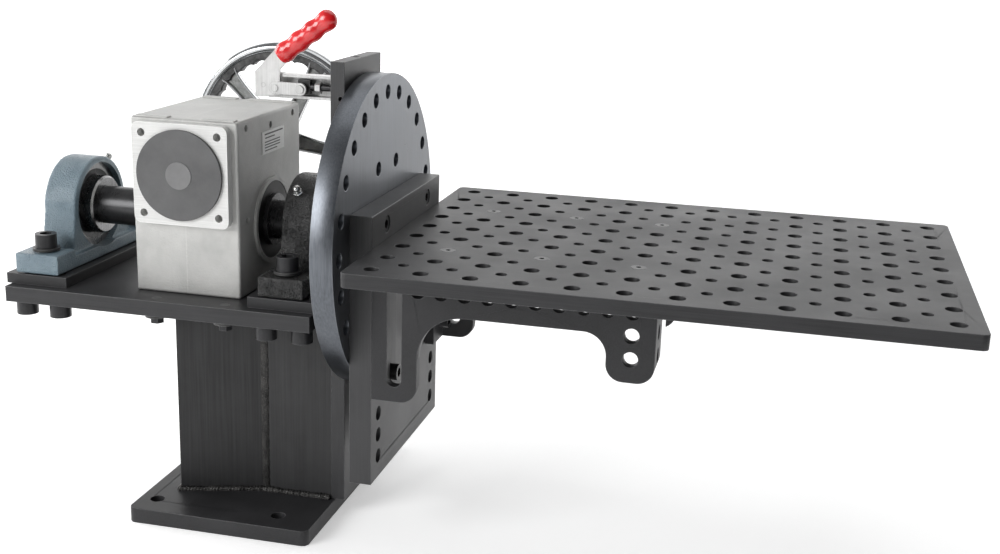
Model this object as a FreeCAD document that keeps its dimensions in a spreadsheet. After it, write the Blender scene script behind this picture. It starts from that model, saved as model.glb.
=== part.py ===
import FreeCAD, Part
import math
import os
import Sketcher
from FreeCAD import Placement, Rotation, Vector

# Rotary table for welding and fixturing: a worm gearbox turns a shaft in two pillow
# blocks, and the shaft carries an index disc, a carrier plate and a perforated table.
# Frame: origin at the centre of the base plate's underside, X along the shaft towards
# the table, Y from the operator's side to the handwheel, Z up. Millimetres.

doc = FreeCAD.newDocument("RotaryTable")
sheet = doc.addObject("Spreadsheet::Sheet", "Sizes")


class Size:
    """A number together with the spreadsheet formula that it comes from."""

    def __init__(self, value, formula):
        self.value = float(value)
        self.formula = formula

    def _join(self, other, sign, value):
        right = other.formula if isinstance(other, Size) else repr(float(other))
        return Size(value, "(%s %s %s)" % (self.formula, sign, right))

    def __add__(self, other):
        return self._join(other, "+", self.value + number(other))

    def __sub__(self, other):
        return self._join(other, "-", self.value - number(other))

    def __mul__(self, other):
        return self._join(other, "*", self.value * number(other))

    def __truediv__(self, other):
        return self._join(other, "/", self.value / number(other))

    def __radd__(self, other):
        return self + other

    def __rsub__(self, other):
        return -self + other

    def __neg__(self):
        return Size(-self.value, "(0 - %s)" % self.formula)


def number(value):
    return value.value if isinstance(value, Size) else float(value)


def size(name, value, note):
    """Writes one driving size to the sheet and returns it."""
    size.row += 1
    sheet.set("A%d" % size.row, note)
    sheet.set("B%d" % size.row, str(value))
    sheet.setAlias("B%d" % size.row, name)
    return Size(value, "Sizes." + name)


size.row = 0

# ---- driving sizes -----------------------------------------------------------------

# stand
base_width = size("base_width", 215, "base plate along the shaft")
base_depth = size("base_depth", 300, "base plate across the shaft")
base_thick = size("base_thick", 18, "base plate thickness")
base_corner = size("base_corner", 8, "base plate corner radius")
base_hole = size("base_hole", 16, "foundation bolt hole")
base_hole_inset_left = size("base_hole_inset_left", 21, "hole row to the left edge")
base_hole_inset_right = size("base_hole_inset_right", 46, "hole row to the right edge")
base_hole_inset_end = size("base_hole_inset_end", 30, "holes to the front and rear edges")
column_width = size("column_width", 120, "column across the shaft")
column_wall = size("column_wall", 10, "column plate thickness")
column_box = size("column_box", 81.5, "straight part of the column")
column_splay_run = size("column_splay_run", 93, "splayed part of the column")
column_splay_out = size("column_splay_out", 29.6, "how far each splay plate opens")
column_height = size("column_height", 220.5, "base plate to platform")
bead_leg = size("bead_leg", 8, "fillet weld leg")
plate_thick = size("plate_thick", 16, "index plate thickness")
plate_overhang = size("plate_overhang", 11, "index plate past the base plate's edge")
plate_above = size("plate_above", 36.5, "index plate above the pin's axis")
lift_hole = size("lift_hole", 8, "tapped hole in the index plate's top")
lift_depth = size("lift_depth", 18, "depth of the tapped hole")
pin_screw = size("pin_screw", 5, "set screw hole beside the index pin")
pin_screw_deep = size("pin_screw_deep", 12, "depth of the set screw hole")
pin_screw_back = size("pin_screw_back", 4.5, "set screw hole to the plate's right face")
pin_screw_drop = size("pin_screw_drop", 3, "set screw hole below the pin's axis")
platform_length = size("platform_length", 365, "platform along the shaft")
platform_depth = size("platform_depth", 250, "platform across the shaft")
platform_thick = size("platform_thick", 18, "platform thickness")
riser_width = size("riser_width", 75, "riser along the shaft")
riser_depth = size("riser_depth", 224, "riser across the shaft")
riser_thick = size("riser_thick", 12, "riser thickness")
riser_left_inset = size("riser_left_inset", 32, "left bearing to the platform's end")
bearing_to_plate = size("bearing_to_plate", 39.5, "right bearing to the index plate")
bolt_gap = size("bolt_gap", 1, "clearance of a screw in its hole")
washer_thick = size("washer_thick", 3, "washer thickness")
platform_bolt = size("platform_bolt", 10, "hexagon screw under the platform")
platform_bolt_head = size("platform_bolt_head", 7, "height of its head")
platform_washer = size("platform_washer", 26, "outside diameter of its washer")

# shaft line
shaft_dia = size("shaft_dia", 45, "main shaft diameter")
arch_clear = size("arch_clear", 3.5, "pillow block arch above the riser")
shaft_past = size("shaft_past", 31.5, "shaft past the left bearing's centre")
shaft_chamfer = size("shaft_chamfer", 2, "chamfer at the shaft's end")
key_width = size("key_width", 14, "key width")
key_length = size("key_length", 50, "key length")
key_sunk = size("key_sunk", 4, "key depth in the shaft")
key_rise = size("key_rise", 5, "key depth in the sleeve")
running_gap = size("running_gap", 0.05, "radial running clearance")
bore_gap = size("bore_gap", 3, "clearance where the shaft passes a plate")
foot_width = size("foot_width", 55, "pillow block foot along the shaft")
foot_length = size("foot_length", 222, "pillow block foot across the shaft")
foot_thick = size("foot_thick", 16, "pillow block foot thickness")
boss_rise = size("boss_rise", 8.5, "bolt boss above the foot")
boss_length = size("boss_length", 42, "bolt boss across the shaft")
arch_wall = size("arch_wall", 8, "pillow block round the bearing")
arch_width = size("arch_width", 42, "pillow block arch along the shaft")
ring_space = size("ring_space", 32, "inner ring to outer ring diameter")
ring_wall = size("ring_wall", 11.5, "bearing inner ring thickness")
ring_width = size("ring_width", 25, "bearing outer ring width")
ball_dia = size("ball_dia", 9, "bearing ball")
collar_out = size("collar_out", 28, "locking collar face from the bearing centre")
foot_bolt_span = size("foot_bolt_span", 176, "pillow block bolt spacing")
foot_bolt = size("foot_bolt", 16, "pillow block bolt")
nipple_dia = size("nipple_dia", 6, "grease nipple shank")
nipple_foot = size("nipple_foot", 6, "grease nipple shank length")
nipple_tip = size("nipple_tip", 8, "grease nipple tip length")
set_screw_long = size("set_screw_long", 8, "length of the collar's set screw")
bolt_past = size("bolt_past", 5, "foot bolt past the platform")
riser_screw_x = size("riser_screw_x", 42, "riser screw spacing along the shaft")
riser_screw_y = size("riser_screw_y", 200, "riser screw spacing across the shaft")
platform_screw_y = size("platform_screw_y", 222, "hexagon screw spacing across")
platform_screw_x = size("platform_screw_x", 82, "hexagon screw spacing along")
platform_screw_inset = size("platform_screw_inset", 35.5, "first one from the gearbox face")

# gearbox
box_width = size("box_width", 126, "gearbox along the shaft")
box_depth = size("box_depth", 176, "gearbox across the shaft")
box_height = size("box_height", 197, "gearbox height")
box_gap = size("box_gap", 55.5, "gearbox to the right bearing's centre")
box_edge = size("box_edge", 3, "gearbox edge radius")
worm_inset = size("worm_inset", 62, "worm axis from the gearbox left face")
tooth_module = size("tooth_module", 2.5, "worm gear module")
wheel_teeth = size("wheel_teeth", 38, "worm wheel teeth")
worm_pitch_dia = size("worm_pitch_dia", 32, "worm pitch diameter")
thread_turns = size("thread_turns", 5, "turns of the worm thread")
worm_end_inset = size("worm_end_inset", 4, "worm shaft end inside the flange")
worm_nut_inset = size("worm_nut_inset", 4, "worm shaft end inside the hub")
worm_shaft_dia = size("worm_shaft_dia", 20, "worm shaft diameter")
wheel_face = size("wheel_face", 12, "worm wheel face width")
sleeve_wall = size("sleeve_wall", 7.5, "wall of the hollow output sleeve")
sleeve_past = size("sleeve_past", 2, "sleeve past the gearbox faces")
output_bearing_dia = size("output_bearing_dia", 90, "output bearing diameter")
output_bearing_width = size("output_bearing_width", 16, "output bearing width")
bearing_inset = size("bearing_inset", 6, "bearings inside the gearbox faces")
output_shoulder = size("output_shoulder", 6, "shoulder inside the output bearings")
wheel_space = size("wheel_space", 16, "room each side of the worm wheel")
wheel_clear = size("wheel_clear", 7.5, "room outside the wheel's pitch circle")
seal_thick = size("seal_thick", 5, "seal thickness")
seal_inset = size("seal_inset", 0.5, "seal below the gearbox face")
seal_gap = size("seal_gap", 0.3, "seal round its shaft")
output_ring = size("output_ring", 100, "raised ring round the output")
output_ring_out = size("output_ring_out", 3, "raised ring height")
worm_bearing_dia = size("worm_bearing_dia", 47, "worm bearing diameter")
worm_bearing_width = size("worm_bearing_width", 14, "worm bearing width")
flange_side = size("flange_side", 112, "input flange side")
flange_thick = size("flange_thick", 10, "input flange thickness")
flange_corner = size("flange_corner", 8, "input flange corner radius")
flange_hole = size("flange_hole", 9, "input flange hole")
flange_hole_span = size("flange_hole_span", 89, "input flange hole spacing")
cap_dia = size("cap_dia", 100, "input cap diameter")
cap_out = size("cap_out", 3.5, "input cap height")
cap_spigot_gap = size("cap_spigot_gap", 0.4, "cap spigot in the flange bore")
cap_spigot_short = size("cap_spigot_short", 2, "cap spigot short of the bearing")
disc_mark_dia = size("disc_mark_dia", 30, "plain disc on the cap")
disc_mark_thick = size("disc_mark_thick", 0.6, "plain disc thickness")
rating_length = size("rating_length", 62, "plain label across the shaft")
rating_height = size("rating_height", 26, "plain label height")
rating_thick = size("rating_thick", 0.8, "plain label thickness")
rating_across = size("rating_across", 7, "label centre behind the shaft")
rating_up = size("rating_up", 27.5, "label centre above the worm")
plug_high = size("plug_high", 109.5, "oil plug above the shaft")
plug_across = size("plug_across", 1, "oil plug behind the shaft")
plug_deep = size("plug_deep", 12, "oil plug hole depth")
plug_long = size("plug_long", 9, "oil plug length")
joint_screw = size("joint_screw", 8, "gearbox screws")
joint_screw_out = size("joint_screw_out", 11, "gearbox screws past the wheel's space")
screw_recess = size("screw_recess", 3, "gearbox screws below its faces")
joint_screw_high = size("joint_screw_high", 114.7, "upper gearbox screws above shaft")
joint_screw_low = size("joint_screw_low", 12, "lower gearbox screws above shaft")
box_screw_at = size("box_screw_at", 9, "first foot screw right of the worm's axis")
box_screw_x = size("box_screw_x", 34, "gearbox foot screws along the shaft")
box_screw_y = size("box_screw_y", 40, "gearbox foot screws across the shaft")
box_screw_deep = size("box_screw_deep", 14, "depth of the gearbox foot holes")
box_screw_short = size("box_screw_short", 2, "foot screw short of its hole")

# handwheel
wheel_dia = size("wheel_dia", 240, "handwheel diameter")
rim_radial = size("rim_radial", 15, "handwheel rim, radial")
rim_axial = size("rim_axial", 22, "handwheel rim, along the axis")
rim_at = size("rim_at", 90, "rim behind the gearbox")
hub_dia = size("hub_dia", 46, "handwheel hub diameter")
hub_length = size("hub_length", 38, "handwheel hub length")
hub_at = size("hub_at", 66, "hub behind the gearbox")
spoke_count = size("spoke_count", 5, "handwheel spokes")
spoke_width = size("spoke_width", 17, "handwheel spoke width")
spoke_thick = size("spoke_thick", 10, "handwheel spoke thickness")
spoke_turn = size("spoke_turn", 61, "angle of the first spoke")
wheel_nut_thick = size("wheel_nut_thick", 9, "handwheel nut height")

# index disc, carrier, arms and table
disc_gap = size("disc_gap", 4, "index plate to disc")
pin_over_box = size("pin_over_box", 31.5, "index pin's axis above the gearbox")
disc_thick = size("disc_thick", 25, "index disc thickness")
index_inset = size("index_inset", 20, "index holes to the disc's edge")
index_count = size("index_count", 24, "index holes")
index_hole = size("index_hole", 16.1, "index hole")
inner_dia = size("inner_dia", 160, "inner circle of holes")
inner_count = size("inner_count", 8, "inner holes")
hole = size("hole", 16, "fixture hole")
hole_pitch = size("hole_pitch", 25, "pitch of the side holes")
carrier_cells = size("carrier_cells", 4, "table pitches between the arms")
carrier_thick = size("carrier_thick", 25, "carrier plate thickness")
carrier_top = size("carrier_top", 42, "carrier plate above the shaft")
carrier_height = size("carrier_height", 300, "carrier plate height")
carrier_screw_span = size("carrier_screw_span", 150, "disc screws across")
carrier_screw_drop = size("carrier_screw_drop", 18, "upper disc screws to the top")
carrier_screw_fall = size("carrier_screw_fall", 90, "upper to lower disc screws")
disc_blind = size("disc_blind", 5, "wall behind the disc's tapped holes")
table_thick = size("table_thick", 15, "table thickness")
table_rise = size("table_rise", 8, "table top above the shaft")
table_corner = size("table_corner", 7, "table corner radius")
table_pitch = size("table_pitch", 50, "pitch of the table holes")
small_hole = size("small_hole", 11.5, "small table hole")
columns = size("columns", 12, "table holes along the shaft")
rows = size("rows", 9, "table holes across the shaft")
arm_cells = size("arm_cells", 6, "arm length in table pitches")
table_bolt = size("table_bolt", 8, "countersunk screw thread")
table_key = size("table_key", 3, "half its hexagon socket")
table_key_deep = size("table_key_deep", 4, "depth of its socket")
arm_web = size("arm_web", 12, "arm web thickness")
arm_leg = size("arm_leg", 50, "arm leg and flange width")
arm_flange = size("arm_flange", 11, "arm flange thickness")
arm_beam = size("arm_beam", 51, "arm beam height")
arm_drop_near = size("arm_drop_near", 151, "arm height at the carrier")
arm_drop_far = size("arm_drop_far", 101, "arm height at the far end")
arm_round = size("arm_round", 18, "outside radius of the arm")
arm_fillet_near = size("arm_fillet_near", 50, "inside radius by the carrier")
arm_fillet_far = size("arm_fillet_far", 25, "inside radius at the far end")
slot_length = size("slot_length", 100, "arm slot between end centres")
arm_screw = size("arm_screw", 12, "arm screws")
arm_screw_span = size("arm_screw_span", 100, "arm screw spacing")
arm_screw_bite = size("arm_screw_bite", 20, "arm screw in the carrier plate")
arm_row = size("arm_row", 26, "table underside to the arm's top holes")

# index clamp
pin_dia = size("pin_dia", 16, "index pin")
pin_length = size("pin_length", 33, "index pin length")
pin_back = size("pin_back", 1.5, "pin nose behind the disc when drawn")
rod_dia = size("rod_dia", 8, "clamp rod")
rod_from = size("rod_from", -46.5, "clamp rod start from the index plate")
rod_end = size("rod_end", 15.5, "clamp rod past the index plate's left face")
rod_block = size("rod_block", 8, "half height of the rod's eye block")
clamp_plate = size("clamp_plate", 3, "clamp plate thickness")
clamp_front = size("clamp_front", -4, "front edge of the clamp's shelves")
clamp_web = size("clamp_web", 9, "front face of the clamp's web")
clamp_drop = size("clamp_drop", 13.5, "clamp frame below the pin's axis")
clamp_step = size("clamp_step", 16, "top shelf short of the web")
clamp_lug = size("clamp_lug", 8, "web past the handle pivot")
clamp_lug_low = size("clamp_lug_low", 4, "lug below the top shelf")
handle_front = size("handle_front", -7.5, "front face of the handle")
link_gap = size("link_gap", 0.3, "handle to link")
link_width = size("link_width", 14, "link width")
link_drop = size("link_drop", 2.2, "link pivots below the pin's axis")
link_screw = size("link_screw", 9, "screw head at the link's far end")
link_screw_rise = size("link_screw_rise", 2, "height of that screw head")
boss_dia = size("boss_dia", 8, "boss of the rod's eye block")
pivot_rise = size("pivot_rise", 0.2, "handle pivot above the pin's axis")
rivet_head = size("rivet_head", 8, "link rivet head")
rivet_head_thick = size("rivet_head_thick", 1, "link rivet head height")
handle_back = size("handle_back", 109, "handle's end from the index plate")
handle_foot = size("handle_foot", 13, "handle below the pin's axis")
handle_heel = size("handle_heel", 9, "flat along the handle's foot")
handle_toe = size("handle_toe", 79.5, "handle's near end from the plate")
handle_toe_low = size("handle_toe_low", 10, "near end below the pin's axis")
handle_toe_high = size("handle_toe_high", 18, "near end above the pin's axis")
handle_shoulder = size("handle_shoulder", 15, "handle shoulder above the pin")
neck_half = size("neck_half", 8, "half width of the handle in the grip")
neck_long = size("neck_long", 12, "handle inside the grip")
neck_root = size("neck_root", 9, "half width where the grip starts")
grip_back = size("grip_back", 78.9, "grip start from the index plate")
grip_up = size("grip_up", 33.6, "grip start above the pin's axis")
nut_back = size("nut_back", 36, "clamp nut centre from the index plate")
nut_thick = size("nut_thick", 6, "clamp nut thickness")
nut_corner = size("nut_corner", 7, "clamp nut centre to corner")
pin_floor = size("pin_floor", 2, "wall at the pin's nose")
pivot_dia = size("pivot_dia", 5, "clamp pivots")
clamp_high = size("clamp_high", 26.5, "clamp frame height")
clamp_length = size("clamp_length", 95, "clamp frame length")
pivot_back = size("pivot_back", 99.5, "handle pivot from the index plate")
link_pivot_back = size("link_pivot_back", 84.6, "link pivot from the index plate")
link_far_back = size("link_far_back", 54.5, "far link pivot from the index plate")
grip_length = size("grip_length", 81, "grip length")
grip_dia = size("grip_dia", 24, "grip diameter")
grip_angle = size("grip_angle", 37, "grip above horizontal")

# ---- places worked out from the driving sizes ----------------------------------------

base_left = -base_width / 2
base_right = base_width / 2
base_back = base_depth / 2
plate_right = base_right + plate_overhang
plate_left = plate_right - plate_thick
column_left = plate_left - column_box - column_splay_run
column_knee = plate_left - column_box
platform_low = base_thick + column_height
platform_top = platform_low + platform_thick
platform_left = plate_left - platform_length
riser_top = platform_top + riser_thick
riser_left_at = platform_left + riser_left_inset
riser_right_at = plate_left - bearing_to_plate
shaft_left_end = riser_left_at - shaft_past
ring_inner = shaft_dia + ring_wall * 2
ring_outer = ring_inner + ring_space
arch_radius = ring_outer / 2 + arch_wall
shaft_rise = arch_radius + arch_clear
axis_high = riser_top + shaft_rise
box_top = platform_top + box_height
box_right = riser_right_at - box_gap
box_at = box_right - box_width
worm_at = box_at + worm_inset
platform_screw_at = box_at + platform_screw_inset
box_front = -box_depth / 2
box_back = box_depth / 2
wheel_pitch_dia = tooth_module * wheel_teeth
wheel_cavity = wheel_pitch_dia + wheel_clear * 2
joint_screw_span = wheel_cavity + joint_screw_out * 2
centres = (wheel_pitch_dia + worm_pitch_dia) / 2
worm_high = axis_high + centres
worm_lead = tooth_module * math.pi
worm_threaded = worm_lead * (thread_turns + 1.5)
disc_left = plate_right + disc_gap
disc_right = disc_left + disc_thick
carrier_right = disc_right + carrier_thick
carrier_width = table_pitch * carrier_cells + hole_pitch * 2
carrier_high = axis_high + carrier_top
carrier_low = carrier_high - carrier_height
table_top = axis_high + table_rise
table_low = table_top - table_thick
table_length = table_pitch * columns
table_width = table_pitch * rows
table_inset = table_pitch / 2
arm_top = table_low
arm_length = table_pitch * arm_cells
arm_right = carrier_right + arm_length
pin_high = box_top + pin_over_box
index_dia = (pin_high - axis_high) * 2
disc_dia = index_dia + index_inset * 2
plate_top = pin_high + plate_above
sleeve_dia = shaft_dia + sleeve_wall * 2

TOP, FRONT, SIDE = "XY_Plane", "XZ_Plane", "YZ_Plane"
ACROSS = Rotation(Vector(1, 0, 0), -90)      # local Z along +Y, local X along +X
ALONG = Rotation(Vector(0, 1, 0), 90)        # local Z along +X, local Y along +Y
BELOW = Rotation(Vector(1, 0, 0), 180)       # local Z down
parts = []


# ---- small vocabulary ------------------------------------------------------------------

def bind(thing, name, value):
    """Sets one property, from the sheet where the value is a Size."""
    if isinstance(value, Size):
        thing.setExpression(name, value.formula)
    elif "." not in name:
        setattr(thing, name, value)
    elif float(value) != 0.0:
        thing.setExpression(name, repr(float(value)))


def place(thing, x, y, z, turn=None):
    if turn is not None:
        thing.Placement = Placement(Vector(), turn)
    for letter, value in (("x", x), ("y", y), ("z", z)):
        bind(thing, "Placement.Base." + letter, value)


def piece(label, x=0, y=0, z=0, turn=None):
    """A new sub-part, empty, in its place."""
    body = doc.addObject("PartDesign::Body", label)
    body.Label = label
    place(body, x, y, z, turn)
    parts.append(body)
    return body


def sketch_on(body, plane, start):
    sketch = body.newObject("Sketcher::SketchObject", body.Name + "_sketch")
    face = [part for part in body.Origin.OriginFeatures if part.Role == plane][0]
    sketch.AttachmentSupport = [(face, "")]
    sketch.MapMode = "FlatFace"
    offset = Size(0, "0") - start if plane == FRONT else Size(0, "0") + start
    sketch.setExpression("AttachmentOffset.Base.z", offset.formula)
    sketch.AttachmentOffset = Placement(Vector(0, 0, offset.value), Rotation())
    return sketch


def pin_down(sketch, curve, point, x, y):
    """Holds one sketch point at its two coordinates."""
    for kind, axis, value in (("DistanceX", -2, x), ("DistanceY", -1, y)):
        if not isinstance(value, Size) and float(value) == 0.0:
            sketch.addConstraint(Sketcher.Constraint("PointOnObject", curve, point, axis))
            continue
        rule = Sketcher.Constraint(kind, -1, 1, curve, point, number(value))
        index = sketch.addConstraint(rule)
        if isinstance(value, Size):
            sketch.setExpression("Constraints[%d]" % index, value.formula)


def outline(*points):
    """A closed outline of straight lines."""
    def draw(sketch):
        first = sketch.GeometryCount
        last = len(points)
        for i, (x, y) in enumerate(points):
            end = points[(i + 1) % last]
            line = Part.LineSegment(Vector(number(x), number(y), 0),
                                    Vector(number(end[0]), number(end[1]), 0))
            sketch.addGeometry(line, False)
        for i in range(last):
            after = first + (i + 1) % last
            sketch.addConstraint(Sketcher.Constraint("Coincident", first + i, 2, after, 1))
        for i, (x, y) in enumerate(points):
            pin_down(sketch, first + i, 1, x, y)
    return draw


def box(left, right, low, high):
    return outline((left, low), (right, low), (right, high), (left, high))


def centred(width, height, x=0, y=0):
    half_x = width / 2
    half_y = height / 2
    return box(-half_x + x, half_x + x, -half_y + y, half_y + y)


def circle(x, y, diameter):
    def draw(sketch):
        centre = Vector(number(x), number(y), 0)
        ring = Part.Circle(centre, Vector(0, 0, 1), number(diameter) / 2)
        curve = sketch.addGeometry(ring, False)
        pin_down(sketch, curve, 3, x, y)
        index = sketch.addConstraint(
            Sketcher.Constraint("Diameter", curve, number(diameter)))
        if isinstance(diameter, Size):
            sketch.setExpression("Constraints[%d]" % index, diameter.formula)
    return draw


def hexagon_of(corner):
    """A hexagon from its centre-to-corner size, one corner on the sketch's X axis."""
    turns = [math.pi * i / 3 for i in range(6)]
    return outline(*[(corner * math.cos(turn), corner * math.sin(turn)) for turn in turns])


def together(*shapes):
    def draw(sketch):
        for shape in shapes:
            shape(sketch)
    return draw


def pad(body, plane, start, length, shape):
    """Material from start, length along the plane's own positive world direction."""
    sketch = sketch_on(body, plane, start)
    shape(sketch)
    feature = body.newObject("PartDesign::Pad", "Pad")
    feature.Profile = sketch
    bind(feature, "Length", length)
    feature.Reversed = plane == FRONT
    return feature


def pocket(body, plane, start, length, shape):
    """A cut from start, length along the plane's own positive world direction."""
    doc.recompute()
    before = body.Shape.Volume
    sketch = sketch_on(body, plane, start)
    shape(sketch)
    feature = body.newObject("PartDesign::Pocket", "Pocket")
    feature.Profile = sketch
    bind(feature, "Length", length)
    feature.Reversed = plane != FRONT
    doc.recompute()
    if body.Shape.Volume >= before - 1e-6:
        raise RuntimeError(body.Label + ": a pocket cuts nothing")
    return feature


def revolve(body, shape, axis="H_Axis"):
    """Turned piece: half section in the XZ plane about its X (or Z, V_Axis) axis."""
    sketch = sketch_on(body, FRONT, 0)
    shape(sketch)
    feature = body.newObject("PartDesign::Revolution", "Revolution")
    feature.Profile = sketch
    feature.ReferenceAxis = (sketch, [axis])
    feature.Angle = 360
    return feature


def grid(body, feature, pitch, count, pitch_2=None, count_2=None, whole=False,
         first="H_Axis", second="V_Axis"):
    """Repeats a feature, or the whole piece, along its sketch's axes."""
    sketch = feature.Profile[0]
    pattern = body.newObject("PartDesign::LinearPattern", "Grid")
    if whole:
        pattern.TransformMode = "Whole shape"
    else:
        pattern.Originals = [feature]
    pattern.Direction = (sketch, [first])
    pattern.Mode = "Spacing"
    pattern.Reversed = number(pitch) < 0
    bind(pattern, "Offset", -pitch if number(pitch) < 0 else pitch)
    bind(pattern, "Occurrences", count)
    if count_2 is not None:
        pattern.Direction2 = (sketch, [second])
        run = pitch_2 * (count_2 - 1)
        pattern.Reversed2 = number(run) < 0
        bind(pattern, "Length2", -run if number(run) < 0 else run)
        bind(pattern, "Occurrences2", count_2)
    body.Tip = pattern
    return pattern


def twin(body, pitch):
    """Repeats a whole piece once more along X."""
    drawn = [part for part in body.Group if part.TypeId == "Sketcher::SketchObject"][0]
    pattern = body.newObject("PartDesign::LinearPattern", "Twin")
    pattern.TransformMode = "Whole shape"
    pattern.Direction = (drawn, ["H_Axis"])
    pattern.Mode = "Spacing"
    bind(pattern, "Offset", pitch)
    pattern.Occurrences = 2
    body.Tip = pattern


def group(label, *members):
    """One sub-part made of several equal or matching pieces."""
    compound = doc.addObject("Part::Compound", label)
    compound.Label = label
    compound.Links = list(members)
    for member in members:
        parts.remove(member)
    parts.append(compound)


def around(body, feature, count, axis="N_Axis"):
    pattern = body.newObject("PartDesign::PolarPattern", "Ring")
    pattern.Originals = [feature]
    pattern.Axis = (feature.Profile[0], [axis])
    pattern.Angle = 360
    bind(pattern, "Occurrences", count)
    body.Tip = pattern
    return pattern


def round_edges(body, radius, wanted):
    """Rounds the straight edges that wanted(direction, middle) picks."""
    doc.recompute()
    base = body.Tip
    names = []
    for i, edge in enumerate(base.Shape.Edges):
        if edge.Curve.TypeId != "Part::GeomLine":
            continue
        start, end = edge.Vertexes[0].Point, edge.Vertexes[-1].Point
        run = (end - start).normalize()
        if wanted(run, (start + end) * 0.5):
            names.append("Edge%d" % (i + 1))
    feature = body.newObject("PartDesign::Fillet", "Rounding")
    feature.Base = (base, names)
    bind(feature, "Radius", radius)
    return feature


def upright(run, middle):
    return abs(run.z) > 0.99


def screw(label, x, y, z, turn, thread, length, pitch, count, pitch_2, count_2,
          hexagon=False, rise=None):
    """A group of equal cap screws; local Z points out of the heads."""
    body = piece(label, x, y, z, turn)
    head = thread * 1.5
    tall = rise or thread
    pad(body, TOP, -length, length, circle(0, 0, thread))
    if hexagon:
        last = pad(body, TOP, 0, tall, hexagon_of(thread * 1.6 / 2))
    else:
        last = pad(body, TOP, 0, tall, circle(0, 0, head))
        last = pocket(body, TOP, tall / 2, tall / 2, hexagon_of(thread * 0.46))
    grid(body, last, pitch, count, pitch_2, count_2, whole=True)
    return body


def washers(label, x, y, z, turn, inner, outer, pitch, count, pitch_2, count_2):
    body = piece(label, x, y, z, turn)
    ring = pad(body, TOP, 0, washer_thick,
               together(circle(0, 0, outer), circle(0, 0, inner)))
    grid(body, ring, pitch, count, pitch_2, count_2, whole=True)
    return body


# ---- welded stand ----------------------------------------------------------------------

def make_base():
    body = piece("base_plate")
    pad(body, TOP, 0, base_thick, centred(base_width, base_depth))
    body.Tip = round_edges(body, base_corner, upright)
    hole_y = base_back - base_hole_inset_end
    hole_x = base_left + base_hole_inset_left
    bolt = pocket(body, TOP, -1, base_thick + 2, circle(hole_x, -hole_y, base_hole))
    span = base_width - base_hole_inset_left - base_hole_inset_right
    grid(body, bolt, span, 2, hole_y * 2, 2)


def column_plate(label, points):
    body = piece(label)
    pad(body, TOP, base_thick, column_height, outline(*points))


def make_column():
    """Two straight side plates, two splayed ones and the closing plate."""
    out = column_width / 2
    far = out + column_splay_out
    slant = math.hypot(column_splay_run.value, column_splay_out.value)
    depth = column_wall * (slant / column_splay_run.value)
    for label, side in (("column_front_plate", -1), ("column_rear_plate", 1)):
        column_plate(label, [
            (column_knee, out * side), (plate_left, out * side),
            (plate_left, (out - column_wall) * side),
            (column_knee, (out - column_wall) * side)])
    for label, side in (("splay_front_plate", -1), ("splay_rear_plate", 1)):
        column_plate(label, [
            (column_left, far * side), (column_knee, out * side),
            (column_knee, (out - depth) * side), (column_left, (far - depth) * side)])
    column_plate("column_left_plate", [
        (column_left, -far + depth), (column_left + column_wall, -far + depth + column_wall / 2),
        (column_left + column_wall, far - depth - column_wall / 2), (column_left, far - depth)])


def make_weld_beads():
    """Fillet welds round the column's foot and down its two front and rear corners."""
    out = column_width / 2
    far = out + column_splay_out
    body = piece("weld_beads")
    grow = bead_leg
    low = [(plate_left, out), (column_knee, out), (column_left, far),
           (column_left - grow, far + grow), (column_knee, out + grow),
           (plate_left, out + grow)]
    for side in (-1, 1):
        pad(body, TOP, base_thick, bead_leg * 0.6, outline(*[(x, y * side) for x, y in low]))
        seam = outline(
            (column_knee - bead_leg, (out + bead_leg * 0.32) * side),
            (column_knee, out * side),
            (column_knee + bead_leg * 0.8, out * side),
            (column_knee, (out + bead_leg * 0.5) * side))
        pad(body, TOP, base_thick + bead_leg * 0.6, column_height - bead_leg * 0.6, seam)
    body.Tip = pad(body, TOP, base_thick, bead_leg * 0.6, outline(
        (column_left, -far), (column_left, far), (column_left - grow, far + grow),
        (column_left - grow, -far - grow)))


def make_index_plate():
    body = piece("index_plate")
    half = column_width / 2
    pad(body, SIDE, plate_left, plate_thick, box(-half, half, base_thick, plate_top))
    pocket(body, SIDE, plate_left, plate_thick, together(
        circle(0, axis_high, shaft_dia + bore_gap * 2),
        circle(0, pin_high, pin_dia + running_gap * 2)))
    pocket(body, TOP, plate_top - lift_depth, lift_depth,
           circle(plate_left + plate_thick / 2, 0, lift_hole))
    body.Tip = pocket(body, FRONT, -half, pin_screw_deep, circle(
        plate_right - pin_screw_back, pin_high - pin_screw_drop, pin_screw))


def make_platform():
    body = piece("platform_plate")
    back = platform_depth / 2
    pad(body, TOP, platform_low, platform_thick, box(platform_left, plate_left, -back, back))
    for middle in (riser_left_at, riser_right_at):
        first = circle(middle - riser_screw_x / 2, -riser_screw_y / 2, foot_bolt + bolt_gap)
        hole_1 = pocket(body, TOP, platform_low, platform_thick, first)
        grid(body, hole_1, riser_screw_x, 2, riser_screw_y, 2)
        bolt = pocket(body, TOP, platform_low, platform_thick,
                      circle(middle, -foot_bolt_span / 2, foot_bolt))
        grid(body, bolt, foot_bolt_span, 2, first="V_Axis")
    bolt = pocket(body, TOP, platform_low, platform_thick,
                  circle(platform_screw_at, -platform_screw_y / 2, platform_bolt))
    grid(body, bolt, platform_screw_x, 2, platform_screw_y, 2)
    bolt = pocket(body, TOP, platform_low, platform_thick,
                  circle(worm_at + box_screw_at, -box_screw_y / 2, joint_screw))
    grid(body, bolt, box_screw_x, 2, box_screw_y, 2)


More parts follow.
